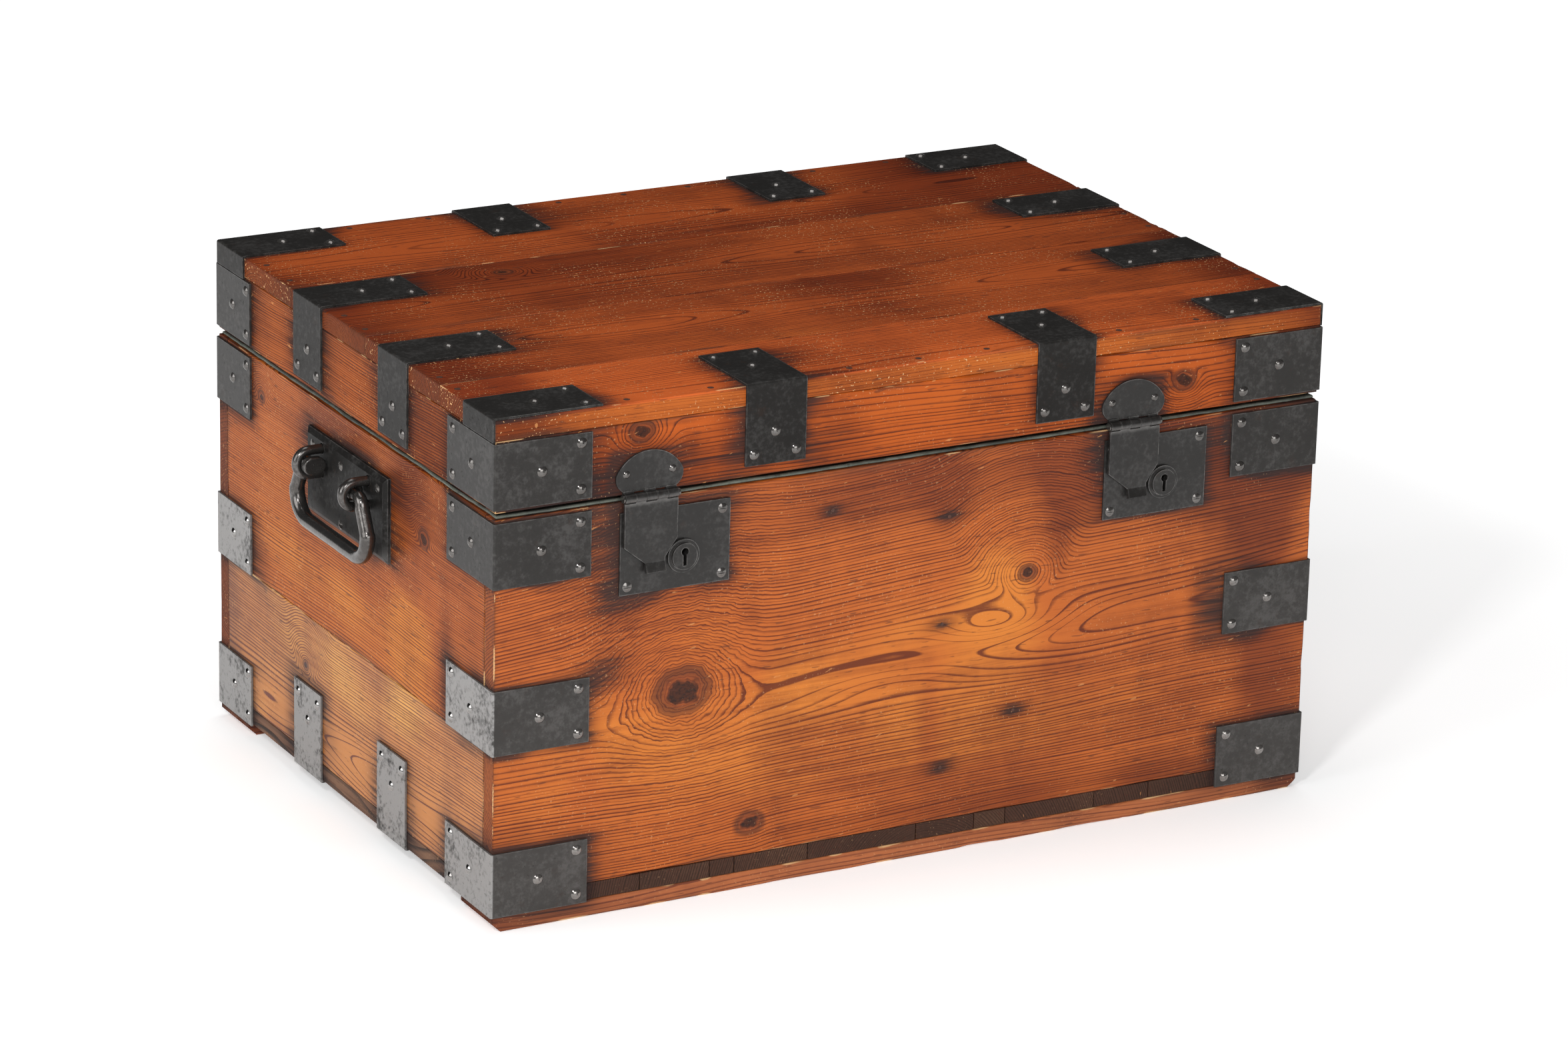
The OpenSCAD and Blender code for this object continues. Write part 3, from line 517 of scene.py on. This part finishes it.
def wood_colour(g, wood, place, xyz, line, streak, fibre):
    """Early and late wood, lighter and yellower in places and darker in others: partly the wood's
    own tone, partly painted light and painted shade.
    """
    along, across, depth = xyz[wood.along], xyz[wood.across], xyz[wood.depth]
    patch = g.noise(g.vector(along * 3.5, across * 9, depth * 9 + wood.seed), 1.0, 3.0, 0.6)
    band = g.noise(g.vector(along * 14, across * 2.0 + wood.seed, depth), 1.0, 2.0)
    mottle = g.noise(place, 60.0, 5.0, 0.7) - 0.5
    dark = line * wood.contrast + (streak - 0.5) * 0.80 + (fibre - 0.5) * 0.60
    dark = dark + (g.smooth(patch, 0.40, 0.66) * 0.34 - 0.08) + mottle * 0.55
    dark = dark + g.smooth(band, 0.47, 0.70) * 0.20
    dark = g.math("MINIMUM", g.math("MAXIMUM", dark, 0.0), 1.0)
    early = tuple(c * wood.tone for c in wood.early)
    late = tuple(c * wood.tone for c in wood.late)
    colour = g.mix(dark, early, late)
    if wood.top:
        up = g.smooth(xyz[Z], LID_TOP - 3.5 * MM, LID_TOP - 0.8 * MM)
        colour = g.mix(up, colour, g.mix(dark, *wood.top))
    # darker patches: partly the wood's own tone, partly painted shade
    shade = g.attribute("shade") + (streak - 0.5) * 0.35 + (patch - 0.5) * 0.5
    # lighter, yellower patches: partly the wood's own tone, partly painted light
    glow = g.noise(g.vector(along * 4, across * 7 + wood.seed, depth), 1.0, 2.0) - 0.5
    glow = g.smooth(glow * 1.6 - shade, 0.05, 0.95)
    colour = g.mix(glow * 0.65, colour, GLOW_TINT, "MULTIPLY")
    return g.mix(g.smooth(shade, 0.05, 0.95) * 0.85, colour, SHADE_TINT, "MULTIPLY")


def pine(name, wood):
    """Varnished pine: growth rings round a tilted pith, knots, iron stains, specks and wear."""
    g = Graph(name)
    place, xyz = g.coordinates()
    along, across, depth = xyz[wood.along], xyz[wood.across], xyz[wood.depth]
    seed = wood.seed
    rings, steep = growth_rings(g, wood, along, across, depth)
    rings, steep, knot_core, knot_rim, knot_heart = grow_knots(g, wood, along, across, rings, steep)
    line = late_wood(g, wood, along, rings, steep)
    fibre = g.noise(g.vector(along * 14 + seed, across * 900, depth * 900), 1.0, 2.0)
    streak = g.noise(g.vector(along * 5 + seed, across * 260, depth * 260), 1.0, 3.0)
    colour = wood_colour(g, wood, place, xyz, line, streak, fibre)

    cracks = g.smooth(g.noise(g.vector(along * 300, across * 300, seed), 1.0, 3.0), 0.50, 0.60)
    colour = g.mix(knot_core * 0.75, colour, KNOT_CORE)
    colour = g.mix(knot_rim * 0.70, colour, KNOT_RIM)
    colour = g.mix(knot_heart * (cracks * 0.12 + 0.86), colour, KNOT_HEART)

    grime = g.smooth(g.attribute("grime") + (streak - 0.5) * 0.6, 0.30, 1.0)
    colour = g.mix(grime * 0.75, colour, GRIME)
    end = g.attribute("end")
    colour = g.mix(end * 0.50, colour, wood.ends)
    stain = g.attribute("stain")
    colour = g.mix(g.smooth(stain, 0.02, 0.45) * 0.55, colour, HALO_TINT, "MULTIPLY")
    stain = g.smooth(stain + (streak - 0.5) * 0.9 + (fibre - 0.5) * 0.5, 0.24, 0.78)
    colour = g.mix(stain * 0.86, colour, IRON_STAIN)

    cluster = g.smooth(g.noise(place, 14.0, 2.0), 0.40, 0.65)
    specks = g.smooth(g.noise(place, 420.0, 1.0), 0.665, 0.70) * cluster * wood.specks
    colour = g.mix(specks, colour, PALE_SPECK)
    slant = g.vector(along * 60 + across * 20, across * 240 - along * 50, depth * 60 + seed)
    scratches = g.smooth(g.noise(slant, 1.0, 2.0), 0.73, 0.76) * 0.55
    colour = g.mix(scratches, colour, SCRATCH)
    dents = g.noise(g.vector(along * 55, across * 420, depth * 420 + seed), 1.0, 1.0)
    dents = g.smooth(dents, 0.67, 0.72)
    colour = g.mix(dents * 0.55, colour, DENT)
    bare = g.smooth(g.attribute("wear") + (fibre - 0.5) * 0.5, 0.34, 0.60)
    colour = g.mix(bare * 0.85, colour, BARE_WOOD)

    rough = wood.gloss + (streak - 0.5) * 0.16 + stain * 0.14 + end * 0.25 + bare * 0.2
    height = line * 0.5 + fibre * 0.35 + streak * 0.5 - dents * 0.6 - specks * 0.5
    g.bump(height + knot_core * cracks * -0.5, 0.16 * MM)
    return g.finish(colour, rough, specular=wood.shine)


# place along and across, core, reach and the ring each knot parts, in metres
FRONT_KNOTS = (
    (-0.235, 0.199, 0.017, 0.044, 0.056),
    (0.116, 0.258, 0.006, 0.014, 0.056),
    (-0.165, 0.062, 0.009, 0.018, 0.155),
)
FRONT_EYES = ((0.089, 0.215, 0.070, 0.020, 0.016), (-0.02, 0.175, 0.10, 0.018, 0.008))


# the lid's top is redder: its early and late wood, then each plank's pith, hollow and tone; the
# front plank's higher tone is partly painted reflection
LID_TOP_WOOD = (0.40, 0.078, 0.015), (0.13, 0.022, 0.006)
LID_PLANKS = {
    "lid_plank_front": (-0.30, 0.06, 1.35), "lid_plank_mid_front": (-0.10, 0.045, 1.0),
    "lid_plank_mid_back": (0.05, 0.05, 0.92), "lid_plank_back": (0.20, 0.06, 0.98),
}


def wood_for(node, seed):
    """Cut and colour of each board."""
    shapes = {
        "front_board": Wood(X, Z, Y, 0.196, HALF_DEPTH + 0.050, lean=0.05, taper=-0.035,
                            knots=FRONT_KNOTS, eyes=FRONT_EYES, contrast=1.15, seed=3.1),
        "back_board": Wood(X, Z, Y, 0.20, -HALF_DEPTH + 0.06, taper=0.03, seed=8.4),
        # the lower left board's paler, yellower early wood is partly its own tone and partly
        # painted sheen
        "left_board_lower": Wood(Y, Z, X, 0.070, HALF_LENGTH + 0.040, taper=0.03, seed=5.2,
                                 spacing=2.4, shine=0.26, early=(0.48, 0.180, 0.040),
                                 contrast=1.4, knots=(
                                     (0.10, 0.118, 0.004, 0.010, 0.06),)),
        "left_board_upper": Wood(Y, Z, X, 0.06, HALF_LENGTH + 0.17, seed=2.7, spacing=1.9,
                                 early=(0.42, 0.110, 0.017), shine=0.08, wander=0.012,
                                 contrast=1.5, knots=(
                                     (0.20, 0.350, 0.005, 0.012, 0.336),
                                     (-0.155, 0.322, 0.007, 0.014, 0.312))),
        "right_board_lower": Wood(Y, Z, X, 0.09, -HALF_LENGTH + 0.05, seed=6.6),
        "right_board_upper": Wood(Y, Z, X, 0.30, -HALF_LENGTH + 0.08, seed=9.1),
        "lid_front_rail": Wood(X, Z, Y, 0.47, HALF_DEPTH + 0.07, seed=4.4, spacing=2.4,
                               early=(0.50, 0.098, 0.011), tone=0.85, shine=0.14, knots=(
                                   (-0.279, 0.446, 0.008, 0.018, 0.075),
                                   (0.274, 0.421, 0.008, 0.016, 0.086))),
        "lid_back_rail": Wood(X, Z, Y, 0.40, -HALF_DEPTH + 0.07, seed=7.4),
        "lid_left_rail": Wood(Y, Z, X, 0.31, HALF_LENGTH + 0.06, seed=1.9, spacing=2.2, tone=0.72,
                              contrast=1.5, shine=0.04),
        "lid_right_rail": Wood(Y, Z, X, 0.44, -HALF_LENGTH + 0.06, seed=3.9),
    }
    if node in LID_PLANKS:
        pith, hollow, tone = LID_PLANKS[node]
        top = [tuple(c * tone for c in colour) for colour in LID_TOP_WOOD]
        knots = ((-0.22, 0.10, 0.006, 0.014, 0.06),) if node == "lid_plank_mid_back" else ()
        return Wood(X, Y, Z, pith, hollow - LID_TOP, top=top, specks=1.0, tone=0.9, gloss=0.46,
                    shine=0.12, seed=seed + 0.37, contrast=1.1, knots=knots)
    return shapes[node]


def cut_hollows(obj):
    """Cuts the lock cases' room and the staples' channels out of a piece."""
    gap, past = 0.3 * MM, 1 * MM
    channel_half, channel_below = 5 * MM, 4.5 * MM
    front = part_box("front_board")[0].y - past
    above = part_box("front_board")[1].z + 20 * MM
    for side in ("left", "right"):
        case_low, case_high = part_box("lock_case_" + side)
        staple_low, staple_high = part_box("hasp_staple_" + side)
        middle = (staple_low.x + staple_high.x) / 2
        cuts = [
            ((case_low.x - gap, front, case_low.z - gap),
             (case_high.x + gap, case_high.y + gap, case_high.z + gap)),
            ((middle - channel_half, front, staple_low.z - channel_below),
             (middle + channel_half, case_high.y + past, above)),
        ]
        for low, high in cuts:
            points, faces = box_grid([np.array([low[a], high[a]]) for a in range(3)])
            cutter = mesh_object("cutter", points, faces, smooth=False)
            modifier = obj.modifiers.new("hollow", "BOOLEAN")
            modifier.object = cutter
            modifier.solver = "EXACT"
            apply_modifiers(obj)
            bpy.data.objects.remove(cutter)


def apply_modifiers(obj):
    """Bakes an object's modifiers into its mesh."""
    depsgraph = bpy.context.evaluated_depsgraph_get()
    mesh = bpy.data.meshes.new_from_object(obj.evaluated_get(depsgraph))
    obj.modifiers.clear()
    obj.data = mesh


def add_piece(obj, body, slot, material, *nodes):
    """Gives a piece its only material, ties it to its body and hides the nodes it shows."""
    obj.data.materials.clear()
    obj.data.materials.append(material)
    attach(obj, body)
    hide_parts(*nodes)


def slot_of(node):
    """The record's material slot of a CAD node."""
    return next(p["material_slot"] for p in frame["record"]["subparts"] if p["node"] == node)


def body_of(node):
    return frame["nodes"][node]["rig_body"]


def make_boards():
    """Walls and lid: one worn board for each wooden CAD node."""
    for number, (node, grain) in enumerate(WOOD_NODES.items()):
        low, high = (list(v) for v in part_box(node))
        if node.endswith("board_lower"):
            high[Z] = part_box(node.replace("lower", "upper"))[0].z
        seed = BOARD_SEED + number
        chip = 3.0 if node.startswith("lid") else 2.2
        board = worn_board("worn_" + node, low, high, grain, seed, chip=chip)
        if node == "front_board":
            cut_hollows(board)
        worn = 0.5 if "plank_mid" in node else 0.9
        mark_board(board, low, high, grain, seed, worn, BANDS.get(node, ()))
        add_piece(board, body_of(node), slot_of(node), pine(node, wood_for(node, number)), node)


def join(objects):
    """Joins objects into the first one."""
    first = objects[0]
    with bpy.context.temp_override(active_object=first, selected_editable_objects=objects):
        bpy.ops.object.join()
    return first


def make_floor_boards():
    """Twelve boards under the walls, in one piece of the visual as in the CAD."""
    boards = []
    for number, (low, high) in enumerate(sorted(solids("floor_boards"), key=lambda b: b[0][0])):
        name = "worn_floor_boards" if number == 0 else "floor_part"
        seed = FLOOR_SEED + number
        board = worn_board(name, low, high, Y, seed, step=7 * MM, arris=0.6, chip=1.6)
        mark_board(board, low, high, Y, seed, worn=0.25)
        boards.append(board)
    wood = Wood(Y, X, Z, 0.02, 0.05, spacing=2.4, early=(0.17, 0.082, 0.045),
                late=(0.030, 0.016, 0.011), seed=12.3, gloss=0.6, specks=0.2, contrast=1.3,
                ends=(0.045, 0.026, 0.018))
    add_piece(join(boards), "chest", slot_of("floor_boards"), pine("floor_pine", wood),
              "floor_boards")


def make_battens():
    """Two battens under the floor, their lower ends cut off at a slant."""
    cut = 9 * MM
    for number, node in enumerate(("front_batten", "back_batten")):
        low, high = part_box(node)
        seed = BATTEN_SEED + number
        batten = worn_board("worn_" + node, low, high, X, seed, arris=1.2, chip=3.5)
        for v in batten.data.vertices:
            from_end = min(v.co.x - low.x, high.x - v.co.x)
            v.co.z = max(v.co.z, low.z + cut - from_end)
        mark_board(batten, low, high, X, seed, worn=1.6)
        wood = Wood(X, Z, Y, 0.03, 0.33 - 0.63 * number, spacing=2.2, seed=14.0 + number,
                    early=(0.42, 0.13, 0.045), late=(0.17, 0.045, 0.02), gloss=0.5)
        add_piece(batten, "chest", slot_of(node), pine(node, wood), node)


# ------------------------------------------------------------------ metal

# linear colours of rubbed iron, which also gives the painted sheen low on the left side, of its
# bright worn edges, which also give a painted highlight along a hinge barrel, of rust and of pits
RUBBED_IRON_AND_SHEEN, EDGE_IRON_AND_HIGHLIGHT = (0.33, 0.322, 0.315), (0.28, 0.27, 0.26)
RUST, PIT = (0.040, 0.020, 0.012), (0.012, 0.011, 0.010)


def iron(name, tone=0.014, bare=0.06, gloss=0.42, pits=0.4, shine=0.18, metal=0.1, rub=0.6,
         barrel_highlight=None, seed=0.0):
    """Blackened iron: mottled oxide, pits, rubbed bright edges and a little rust, with a painted
    sheen low on the left side, lighter towards the bottom, and a painted highlight along a hinge
    barrel when its height is given.
    """
    g = Graph(name)
    place, (x, y, z) = g.coordinates()
    broad = g.noise(place, 26.0 + seed, 4.0, 0.6)
    fine = g.noise(place, 210.0 + seed, 4.0, 0.65)
    grit = g.noise(place, 900.0, 2.0)
    blotch = g.smooth(fine * 0.4 + broad * 0.6, 0.36, 0.66)
    # low on the left side: partly bare rubbed metal, partly painted sheen of the light from the
    # left
    left = g.smooth(x, 0.5 * MM - HALF_LENGTH, -0.6 * MM - HALF_LENGTH)
    left_sheen_and_rub = g.smooth(z, 0.300, 0.235) * left
    black = (tone, tone * 0.93, tone * 0.87)
    grey = (tone * 1.35, tone * 1.26, tone * 1.19)
    colour = g.mix(blotch, black, grey)
    # lighter towards the bottom: the colour rises to double from 0.38 m down to 0.05 m
    colour = g.mix(g.smooth(z, 0.38, 0.05), colour, (2.0, 2.0, 2.0), "MULTIPLY")
    worn = g.smooth(fine * 0.7 + broad * 0.5, 0.56, 0.78) * bare
    worn = g.math("MAXIMUM", worn, g.smooth(fine * 0.5 + broad * 0.5, 0.34, 0.52) * left_sheen_and_rub * 0.8)
    colour = g.mix(worn, colour, RUBBED_IRON_AND_SHEEN)
    rust = g.smooth(g.noise(place, 48.0 + seed, 3.0, 0.7), 0.60, 0.75)
    colour = g.mix(rust * 0.22, colour, RUST)
    broken = g.smooth(g.noise(place, 95.0, 3.0, 0.6), 0.38, 0.62)
    edge = g.smooth(g.edge(1.5 * MM) + (fine - 0.5) * 0.12, 0.03, 0.20) * (broken * 0.8 + 0.1)
    # painted highlight: a lighter, more metallic band at the height of the hinge barrel
    if barrel_highlight:
        near = g.smooth(g.math("ABSOLUTE", z - barrel_highlight), 5 * MM, 1 * MM) * (fine * 0.8 + 0.2)
        edge = g.math("MAXIMUM", edge, near * 0.55)
    colour = g.mix(edge * rub, colour, EDGE_IRON_AND_HIGHLIGHT)
    pit = g.smooth(g.noise(place, 330.0, 1.5), 0.66, 0.72) * pits
    colour = g.mix(pit * 0.8, colour, PIT)
    rough = gloss + (broad - 0.5) * 0.25 - worn * 0.06 + pit * 0.3 + (grit - 0.5) * 0.1
    g.feed(g.shader.inputs["Metallic"],
           g.math("MINIMUM", worn * 0.6 + edge * rub * 0.8 + metal, 1.0))
    g.bump(fine * 0.3 + broad * 0.9 - pit * 0.8 + grit * 0.08, 0.16 * MM)
    return g.finish(colour, rough, specular=shine)


def nail_heads():
    """Nail heads under old varnish."""
    g = Graph("nail_heads")
    place, _ = g.coordinates()
    spots = g.smooth(g.noise(place, 500.0, 2.0), 0.35, 0.65)
    colour = g.mix(spots, (0.085, 0.026, 0.012), (0.045, 0.020, 0.013))
    g.bump(spots, 0.1 * MM)
    return g.finish(colour, 0.45 + spots * 0.1, specular=0.4)


def zinc():
    """Dull zinc with grey-green bloom, stains and scratches."""
    g = Graph("zinc_sheet")
    place, _ = g.coordinates()
    bloom = g.noise(place, 22.0, 5.0, 0.65)
    spangle = g.cells(place, 60.0)
    colour = g.mix(g.smooth(bloom, 0.35, 0.65), (0.060, 0.068, 0.056), (0.150, 0.165, 0.132))
    colour = g.mix(spangle * 0.25, colour, (0.16, 0.17, 0.165))
    dark = g.smooth(g.noise(place, 120.0, 3.0, 0.7), 0.55, 0.72)
    colour = g.mix(dark * 0.6, colour, (0.045, 0.048, 0.040))
    g.feed(g.shader.inputs["Metallic"], 0.45)
    g.bump(bloom + dark * -0.3, 0.4 * MM)
    return g.finish(colour, 0.5 + (bloom - 0.5) * 0.3, specular=0.5)


def make_liner(material):
    """Zinc tray as one closed skin: an uneven rolled edge on the rim, a flange, walls, floor."""
    low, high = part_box("zinc_liner")
    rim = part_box("front_board")[1].z
    wall = 20.0
    floor = (low.z - rim) / MM
    # inset from the outer edge and height over the rim in mm, then how much of each is uneven
    profile = [
        (wall + 4, floor + 1, 0, 0), (wall + 1, floor + 2, 0, 0), (wall, floor + 6, 0, 0),
        (wall, -2, 0, 0), (wall - 1, 0.9, 0, 0), (5.5, 1.1, 0, 0), (4.6, 1.8, 0.6, 0.3),
        (3.8, 3.2, 1.0, 0.9), (2.3, 3.9, 1.2, 1.0), (1.0, 3.3, 1.3, 0.9), (0.4, 1.9, 1.4, 0.5),
        (0.9, 0.7, 1.2, 0.2), (3.0, 0.1, 0, 0), (wall - 2, 0.05, 0, 0), (wall - 1, -2, 0, 0),
        (wall - 1, floor, 0, 0),
    ]
    half_x, half_y, step = high.x, high.y, 5 * MM
    xs = np.linspace(-half_x, half_x, int(2 * half_x / step))
    ys = np.linspace(-half_y, half_y, int(2 * half_y / step))
    around = np.concatenate([
        np.stack([xs[:-1], np.full(len(xs) - 1, -half_y)], 1),
        np.stack([np.full(len(ys) - 1, half_x), ys[:-1]], 1),
        np.stack([xs[:0:-1], np.full(len(xs) - 1, half_y)], 1),
        np.stack([np.full(len(ys) - 1, -half_x), ys[:0:-1]], 1)])
    count = len(around)
    flat = np.column_stack([around, np.zeros(count)])
    wave = smooth_noise(flat, 26, 31) * 0.6 + smooth_noise(flat, 95, 32) * 0.4
    lift = smooth_noise(flat, 33, 33) * 0.6 + smooth_noise(flat, 120, 34) * 0.4
    loops = []
    for inset, height, uneven_in, uneven_down in profile:
        inset = (inset + uneven_in * 1.6 * wave) * MM
        shrink = 1 - np.stack([inset / half_x, inset / half_y], 1)
        z = rim + (height - uneven_down * 1.4 * lift) * MM
        loops.append(np.column_stack([around * shrink, z * np.ones(count)]))
    faces = [(a * count + i, a * count + (i + 1) % count, (a + 1) * count + (i + 1) % count,
              (a + 1) * count + i) for a in range(len(loops) - 1) for i in range(count)]
    faces = [f[::-1] for f in faces]
    faces.append(list(range(count)))
    last = (len(loops) - 1) * count
    faces.append([last + i for i in reversed(range(count))])
    liner = mesh_object("rolled_zinc_liner", np.concatenate(loops), faces)
    cut_hollows(liner)
    liner.data.set_sharp_from_angle(angle=math.radians(50))
    add_piece(liner, "chest", slot_of("zinc_liner"), material, "zinc_liner")


BRACKETS = ["lower_corner_brackets", "middle_corner_brackets", "upper_corner_brackets",
            "lid_corner_brackets"]
STRAPS = ["bottom_straps", "lid_corner_straps", "lid_side_straps", "lid_front_straps",
          "hinge_leaf_left", "hinge_leaf_right", "hinge_strap_left", "hinge_strap_right"]
LOCK_IRON = ["lock_plate_left", "lock_plate_right", "key_boss_left", "key_boss_right",
             "hasp_plate_left", "hasp_plate_right", "hasp_flap_left", "hasp_flap_right"]
HIDDEN_IRON = ["lock_case_left", "lock_case_right", "lock_bolt_left", "lock_bolt_right",
               "lock_springs", "hasp_staple_left", "hasp_staple_right"]
HANDLE_PLATES = ["handle_plate_left", "handle_plate_right"]
FIXINGS = ["body_rivets", "lid_rivets", "handle_rivets", "lock_screws", "hinge_pins",
           "hasp_pins"]


def make_forgings(material):
    """Handle parts as a smith leaves them: the CAD shapes with every corner hammered soft."""
    for kind in ("handle_eyes", "bail"):
        for side in ("left", "right"):
            node = kind + "_" + side
            mesh = frame["nodes"][node].data.copy()
            obj = bpy.data.objects.new("forged_" + node, mesh)
            bpy.context.scene.collection.objects.link(obj)
            remesh = obj.modifiers.new("skin", "REMESH")
            remesh.mode = "VOXEL"
            remesh.voxel_size = 0.8 * MM
            soften = obj.modifiers.new("soften", "SMOOTH")
            soften.factor = 0.5
            soften.iterations = 10
            apply_modifiers(obj)
            points = vertex_points(obj.data)
            normals = np.array([v.normal for v in obj.data.vertices])
            dent = smooth_noise(points, 70, 3) * 0.25 + smooth_noise(points, 32, 5) * 0.35
            moved = points - normals * dent[:, None] * MM
            obj.data.vertices.foreach_set("co", moved.ravel())
            obj.data.shade_smooth()
            add_piece(obj, body_of(node), slot_of(node), material, node)


def paint_cad(nodes, material, bevel):
    """Gives CAD nodes a material and, where they are plates, softly broken edges."""
    for name in nodes:
        obj = frame["nodes"][name]
        obj.data.materials.clear()
        obj.data.materials.append(material)
        obj.data.shade_smooth()
        if bevel:
            modifier = obj.modifiers.new("broken_edges", "BEVEL")
            modifier.width = bevel
            modifier.segments = 2
            modifier.angle_limit = math.radians(35)
            modifier.harden_normals = True
        else:
            obj.data.set_sharp_from_angle(angle=math.radians(35))


# ------------------------------------------------------------------ studio

def add_floor():
    """Pale paper that glows a little, less so under the chest."""
    half = 60.0
    corners = [(-half, -half, 0), (half, -half, 0), (half, half, 0), (-half, half, 0)]
    floor = mesh_object("studio_floor", corners, [(0, 1, 2, 3)], smooth=False)
    g = Graph("studio_paper")
    place, (x, y, _) = g.coordinates()
    tint = g.smooth(g.noise(place, 3.0, 3.0), 0.3, 0.7)
    away = g.math("SQRT", x * x + y * y)
    g.feed(g.shader.inputs["Emission Color"], (1.0, 1.0, 1.0, 1.0))
    g.feed(g.shader.inputs["Emission Strength"], g.smooth(away, 0.3, 2.2) * 0.44 + 0.36)
    floor.data.materials.append(
        g.finish(g.mix(tint, (0.86, 0.86, 0.86), (0.88, 0.88, 0.88)), 0.9))


def add_light(name, position, target, size, power):
    """A rectangular lamp turned towards the target."""
    light = bpy.data.lights.new(name, "AREA")
    light.shape = "RECTANGLE"
    light.size, light.size_y = size
    light.energy = power
    obj = bpy.data.objects.new(name, light)
    obj.location = position
    obj.rotation_euler = (Vector(target) - Vector(position)).to_track_quat("-Z", "Y").to_euler()
    bpy.context.scene.collection.objects.link(obj)


def add_lights():
    """Four soft lamps and a faint white surround."""
    centre = (0, 0, 0.25)
    add_light("key", (-2.3, -2.3, 2.5), centre, (0.40, 0.40), 46)
    add_light("left_softbox", (-3.2, -0.3, 1.5), centre, (2.2, 1.8), 50)
    add_light("front_softbox", (-0.9, -3.6, 1.5), centre, (2.6, 1.6), 66)
    add_light("top_softbox", (0.3, 0.4, 3.4), centre, (2.2, 2.2), 48)
    world = bpy.data.worlds.new("studio")
    world.use_nodes = True
    world.node_tree.nodes["Background"].inputs["Color"].default_value = (1, 1, 1, 1)
    world.node_tree.nodes["Background"].inputs["Strength"].default_value = 0.05
    bpy.context.scene.world = world
    bpy.context.scene.view_settings.view_transform = "Standard"


def add_camera():
    """A long lens from the front left, a little above, with a slight roll."""
    position = Vector((-2.5714, -4.7207, 2.0780))
    target = Vector((0.0207, -0.0116, 0.2300))
    roll = math.radians(1.44)
    camera = bpy.data.cameras.new("camera")
    camera.lens = 139.0
    camera.sensor_width = 36.0
    obj = bpy.data.objects.new("camera", camera)
    turn = (target - position).to_track_quat("-Z", "Y").to_matrix().to_4x4()
    obj.matrix_world = turn
    obj.rotation_euler = turn.to_euler()
    obj.rotation_euler.rotate_axis("Z", roll)
    obj.location = position
    bpy.context.scene.collection.objects.link(obj)
    bpy.context.scene.camera = obj


make_boards()
make_floor_boards()
make_battens()
paint_cad(STRAPS, iron("strap_iron", tone=0.016, shine=0.08), 0.45 * MM)
paint_cad(BRACKETS, iron("bracket_iron", tone=0.023, bare=0.08, seed=1.5), 0.45 * MM)
lock_iron = iron("lock_iron", tone=0.018, bare=0.06, gloss=0.34, pits=0.15, shine=0.35,
                 metal=0.30, rub=0.85, barrel_highlight=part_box("hasp_pins")[0].z, seed=3.0)
paint_cad(LOCK_IRON, lock_iron, 0.35 * MM)
paint_cad(HIDDEN_IRON, iron("inner_iron", tone=0.014, bare=0.1), 0)
make_forgings(iron("forged_iron", tone=0.060, gloss=0.22, bare=0.25, pits=0.3, shine=0.6,
                   metal=0.80, rub=0.2, seed=6.0))
plate_iron = iron("plate_iron", tone=0.008, gloss=0.48, shine=0.10, metal=0.0, seed=2.0)
paint_cad(HANDLE_PLATES, plate_iron, 0.6 * MM)
paint_cad(FIXINGS, iron("rivet_iron", tone=0.095, gloss=0.17, bare=0.1, shine=0.8, metal=0.75,
                        rub=0.1, seed=9.0), 0)
paint_cad(NAIL_NODES, nail_heads(), 0)
make_liner(zinc())
add_floor()
add_lights()
add_camera()
